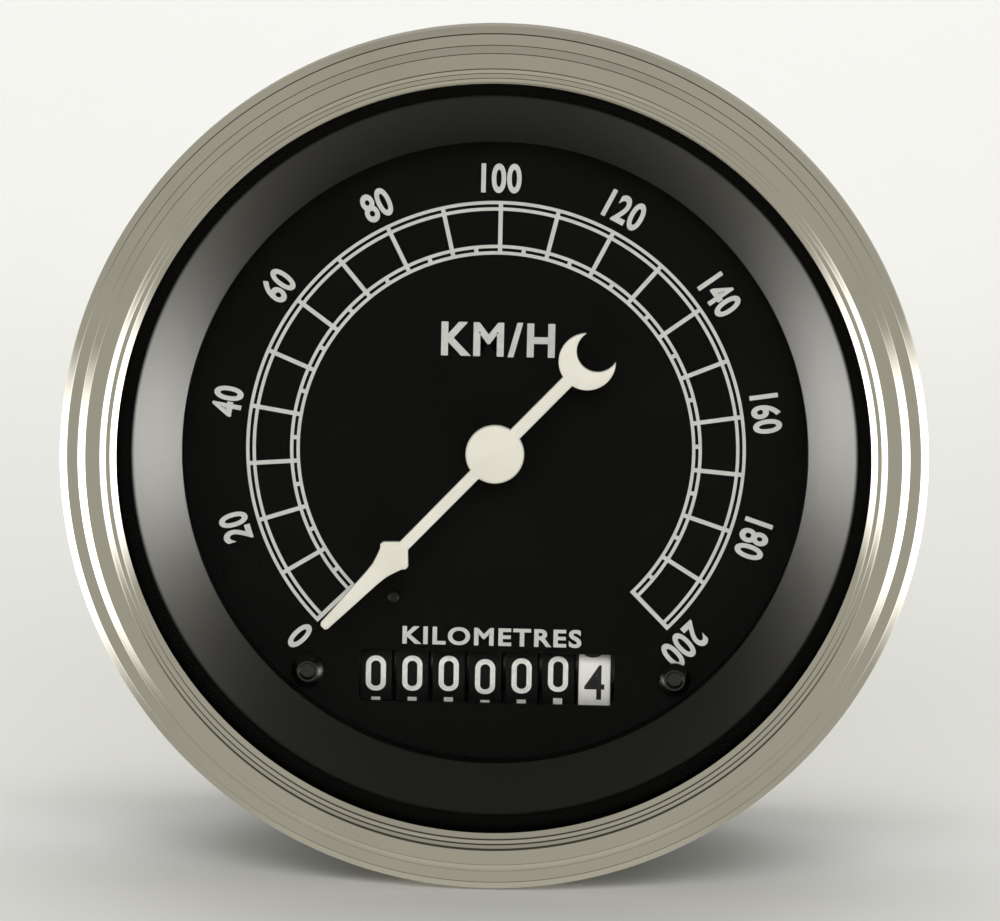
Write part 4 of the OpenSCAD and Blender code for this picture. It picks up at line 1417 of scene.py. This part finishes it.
@dataclass
class Studio:
    """Camera, floor, lamps and the room that the chrome mirrors.

    The fields that end in _step are the limit and the spread of a soft step.
    """

    picture: tuple[int, int] = (1000, 921)
    pixel: float = 0.10865 * MM
    axis_pixel: Pair = (494.8, 454.5)
    distance: float = 0.9
    elevation: float = 7.3
    azimuth: float = 1.4
    roll: float = 1.2
    floor_z: float = -47.2 * MM
    floor_pale: Tone = (0.70, 0.70, 0.69)
    floor_front: Tone = (0.42, 0.42, 0.40)
    floor_half: float = 3.0
    floor_near: float = -3.0
    floor_far: float = 1.4
    floor_tall: float = 2.5
    floor_bend: float = 0.8
    lamps: tuple[tuple[str, tuple[float, float, float], Pair, float], ...] = (
        ("sweep_lamp", (0.0, 0.25, 1.2), (1.2, 0.6), 6.0),
        ("front_lamp", (0.0, -1.3, 0.6), (1.0, 0.6), 14.5),
        ("back_lamp", (0.0, 1.2, 0.7), (1.0, 0.6), 9.0))
    wall: Tone = (0.37, 0.355, 0.30)
    side_panel: Tone = (3.2, 3.13, 2.98)
    side_panel_height: float = -0.21
    side_panel_slant: float = 0.06
    side_panel_step: Pair = (0.4, 0.42)
    panel_end_step: Pair = (0.02, 0.4)
    ahead_step: Pair = (-0.5, 0.22)
    gloom_step: Pair = (0.3, 0.35)
    pole_step: Pair = (0.82, 0.12)
    front_gloom: float = 0.88
    ceiling_gloom: float = 0.1
    ground_glow: float = 0.14

    def build(self) -> None:
        """Sets the camera, the floor, the lamps, the world and the view."""
        self._camera()
        self._floor()
        for lamp in self.lamps:
            self._lamp(*lamp)
        self._world()
        bpy.context.scene.view_settings.view_transform = "Standard"

    def _camera(self) -> None:
        """Puts the camera where the photograph was taken from."""
        data = bpy.data.cameras.new("camera")
        data.sensor_width = 36.0
        data.lens = data.sensor_width * self.distance / (self.picture[0] * self.pixel)
        data.clip_start, data.clip_end = 0.05, 20.0
        camera = new_object("camera", data)
        up, side = math.radians(self.elevation), math.radians(self.azimuth)
        outward = Vector((math.sin(side) * math.cos(up), -math.cos(side) * math.cos(up), math.sin(up)))
        upright = outward.to_track_quat("Z", "Y").to_matrix()
        turn = upright @ Matrix.Rotation(math.radians(self.roll), 3, "Z")
        right_shift = (self.picture[0] / 2 - self.axis_pixel[0]) * self.pixel
        up_shift = (self.axis_pixel[1] - self.picture[1] / 2) * self.pixel
        target = turn @ Vector((right_shift, up_shift, 0))
        camera.matrix_world = Matrix.Translation(target + outward * self.distance) @ turn.to_4x4()
        bpy.context.scene.camera = camera

    def _floor(self) -> None:
        """Lays a pale floor that sweeps up behind the gauge."""
        mesh = bmesh.new()
        low, bend = self.floor_z, self.floor_bend
        start = self.floor_far - bend
        path = [(self.floor_near, low), (start, low)]
        path += [(start + bend * math.sin(a), low + bend - bend * math.cos(a))
                 for a in [math.pi / 2 * i / 16 for i in range(1, 17)]]
        path += [(self.floor_far, low + self.floor_tall)]
        points = [mesh.verts.new((-self.floor_half, y, z)) for y, z in path]
        edges = [mesh.edges.new(pair) for pair in zip(points, points[1:])]
        pull(mesh, bmesh.ops.extrude_edge_only(mesh, edges=edges), (2 * self.floor_half, 0, 0))
        data = smooth_mesh("floor", mesh)
        floor = new_object("floor", data)
        material = bpy.data.materials.new("pale_floor")
        graph = Graph(material)
        _, y, _ = graph.axis_parts(graph.place())
        graph.surface({
            "Base Color": graph.blend(y.above(-0.32, 0.26), self.floor_front, self.floor_pale),
            "Roughness": 0.8,
            "Specular IOR Level": 0.2,
        })
        data.materials.append(material)
        floor.visible_glossy = False

    @staticmethod
    def _lamp(name: str, place: tuple[float, float, float], size: Pair, power: float) -> None:
        """Hangs one soft lamp that faces the gauge, and that the chrome doesn't mirror.

        Args:
            name: the lamp's name.
            place: where it hangs.
            size: its width and height.
            power: its power in watts.
        """
        data = bpy.data.lights.new(name, "AREA")
        data.shape = "RECTANGLE"
        data.size, data.size_y = size
        data.energy = power
        lamp = new_object(name, data)
        facing = Vector(place).to_track_quat("Z", "Y").to_matrix().to_4x4()
        lamp.matrix_world = Matrix.Translation(place) @ facing
        lamp.visible_glossy = False

    def _world(self) -> None:
        """Fills the room: a grey wall all round, a bright panel at each side, dim above and below."""
        world = bpy.data.worlds.new("room")
        bpy.context.scene.world = world
        graph = Graph(world)
        x, y, z = graph.axis_parts(graph.value("ShaderNodeTexCoord", output="Generated"))
        ahead = 1.0 - y.above(*self.ahead_step)
        height = (z - self.side_panel_height - x * self.side_panel_slant).size()
        sides = x.size().above(*self.side_panel_step) * (1.0 - height.above(*self.panel_end_step))
        gloom = ahead * height.above(*self.gloom_step) * self.front_gloom
        ceiling = (1.0 - ahead) * z.above(*self.pole_step) * self.ceiling_gloom
        ground = (1.0 - ahead) * (0.0 - z).above(*self.pole_step) * self.ground_glow
        sky = graph.value("ShaderNodeBackground", None, {
            "Color": graph.blend(sides, self.wall, self.side_panel),
            "Strength": (1.0 - gloom) * (1.0 - ceiling + ground),
        })
        graph.add("ShaderNodeOutputWorld", None, {0: sky})


def main() -> None:
    """Loads the frame and builds every sub-assembly round it."""
    logging.basicConfig(level=logging.INFO, format="%(relativeCreated)d ms %(name)s %(message)s")
    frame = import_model()
    Studio().build()
    BezelAndGlass().build()
    DialFace().build()
    Needle().build()
    Counter().build()
    CaseBack().build()
    dress_inner_works(frame)


if __name__ == "__main__":
    main()
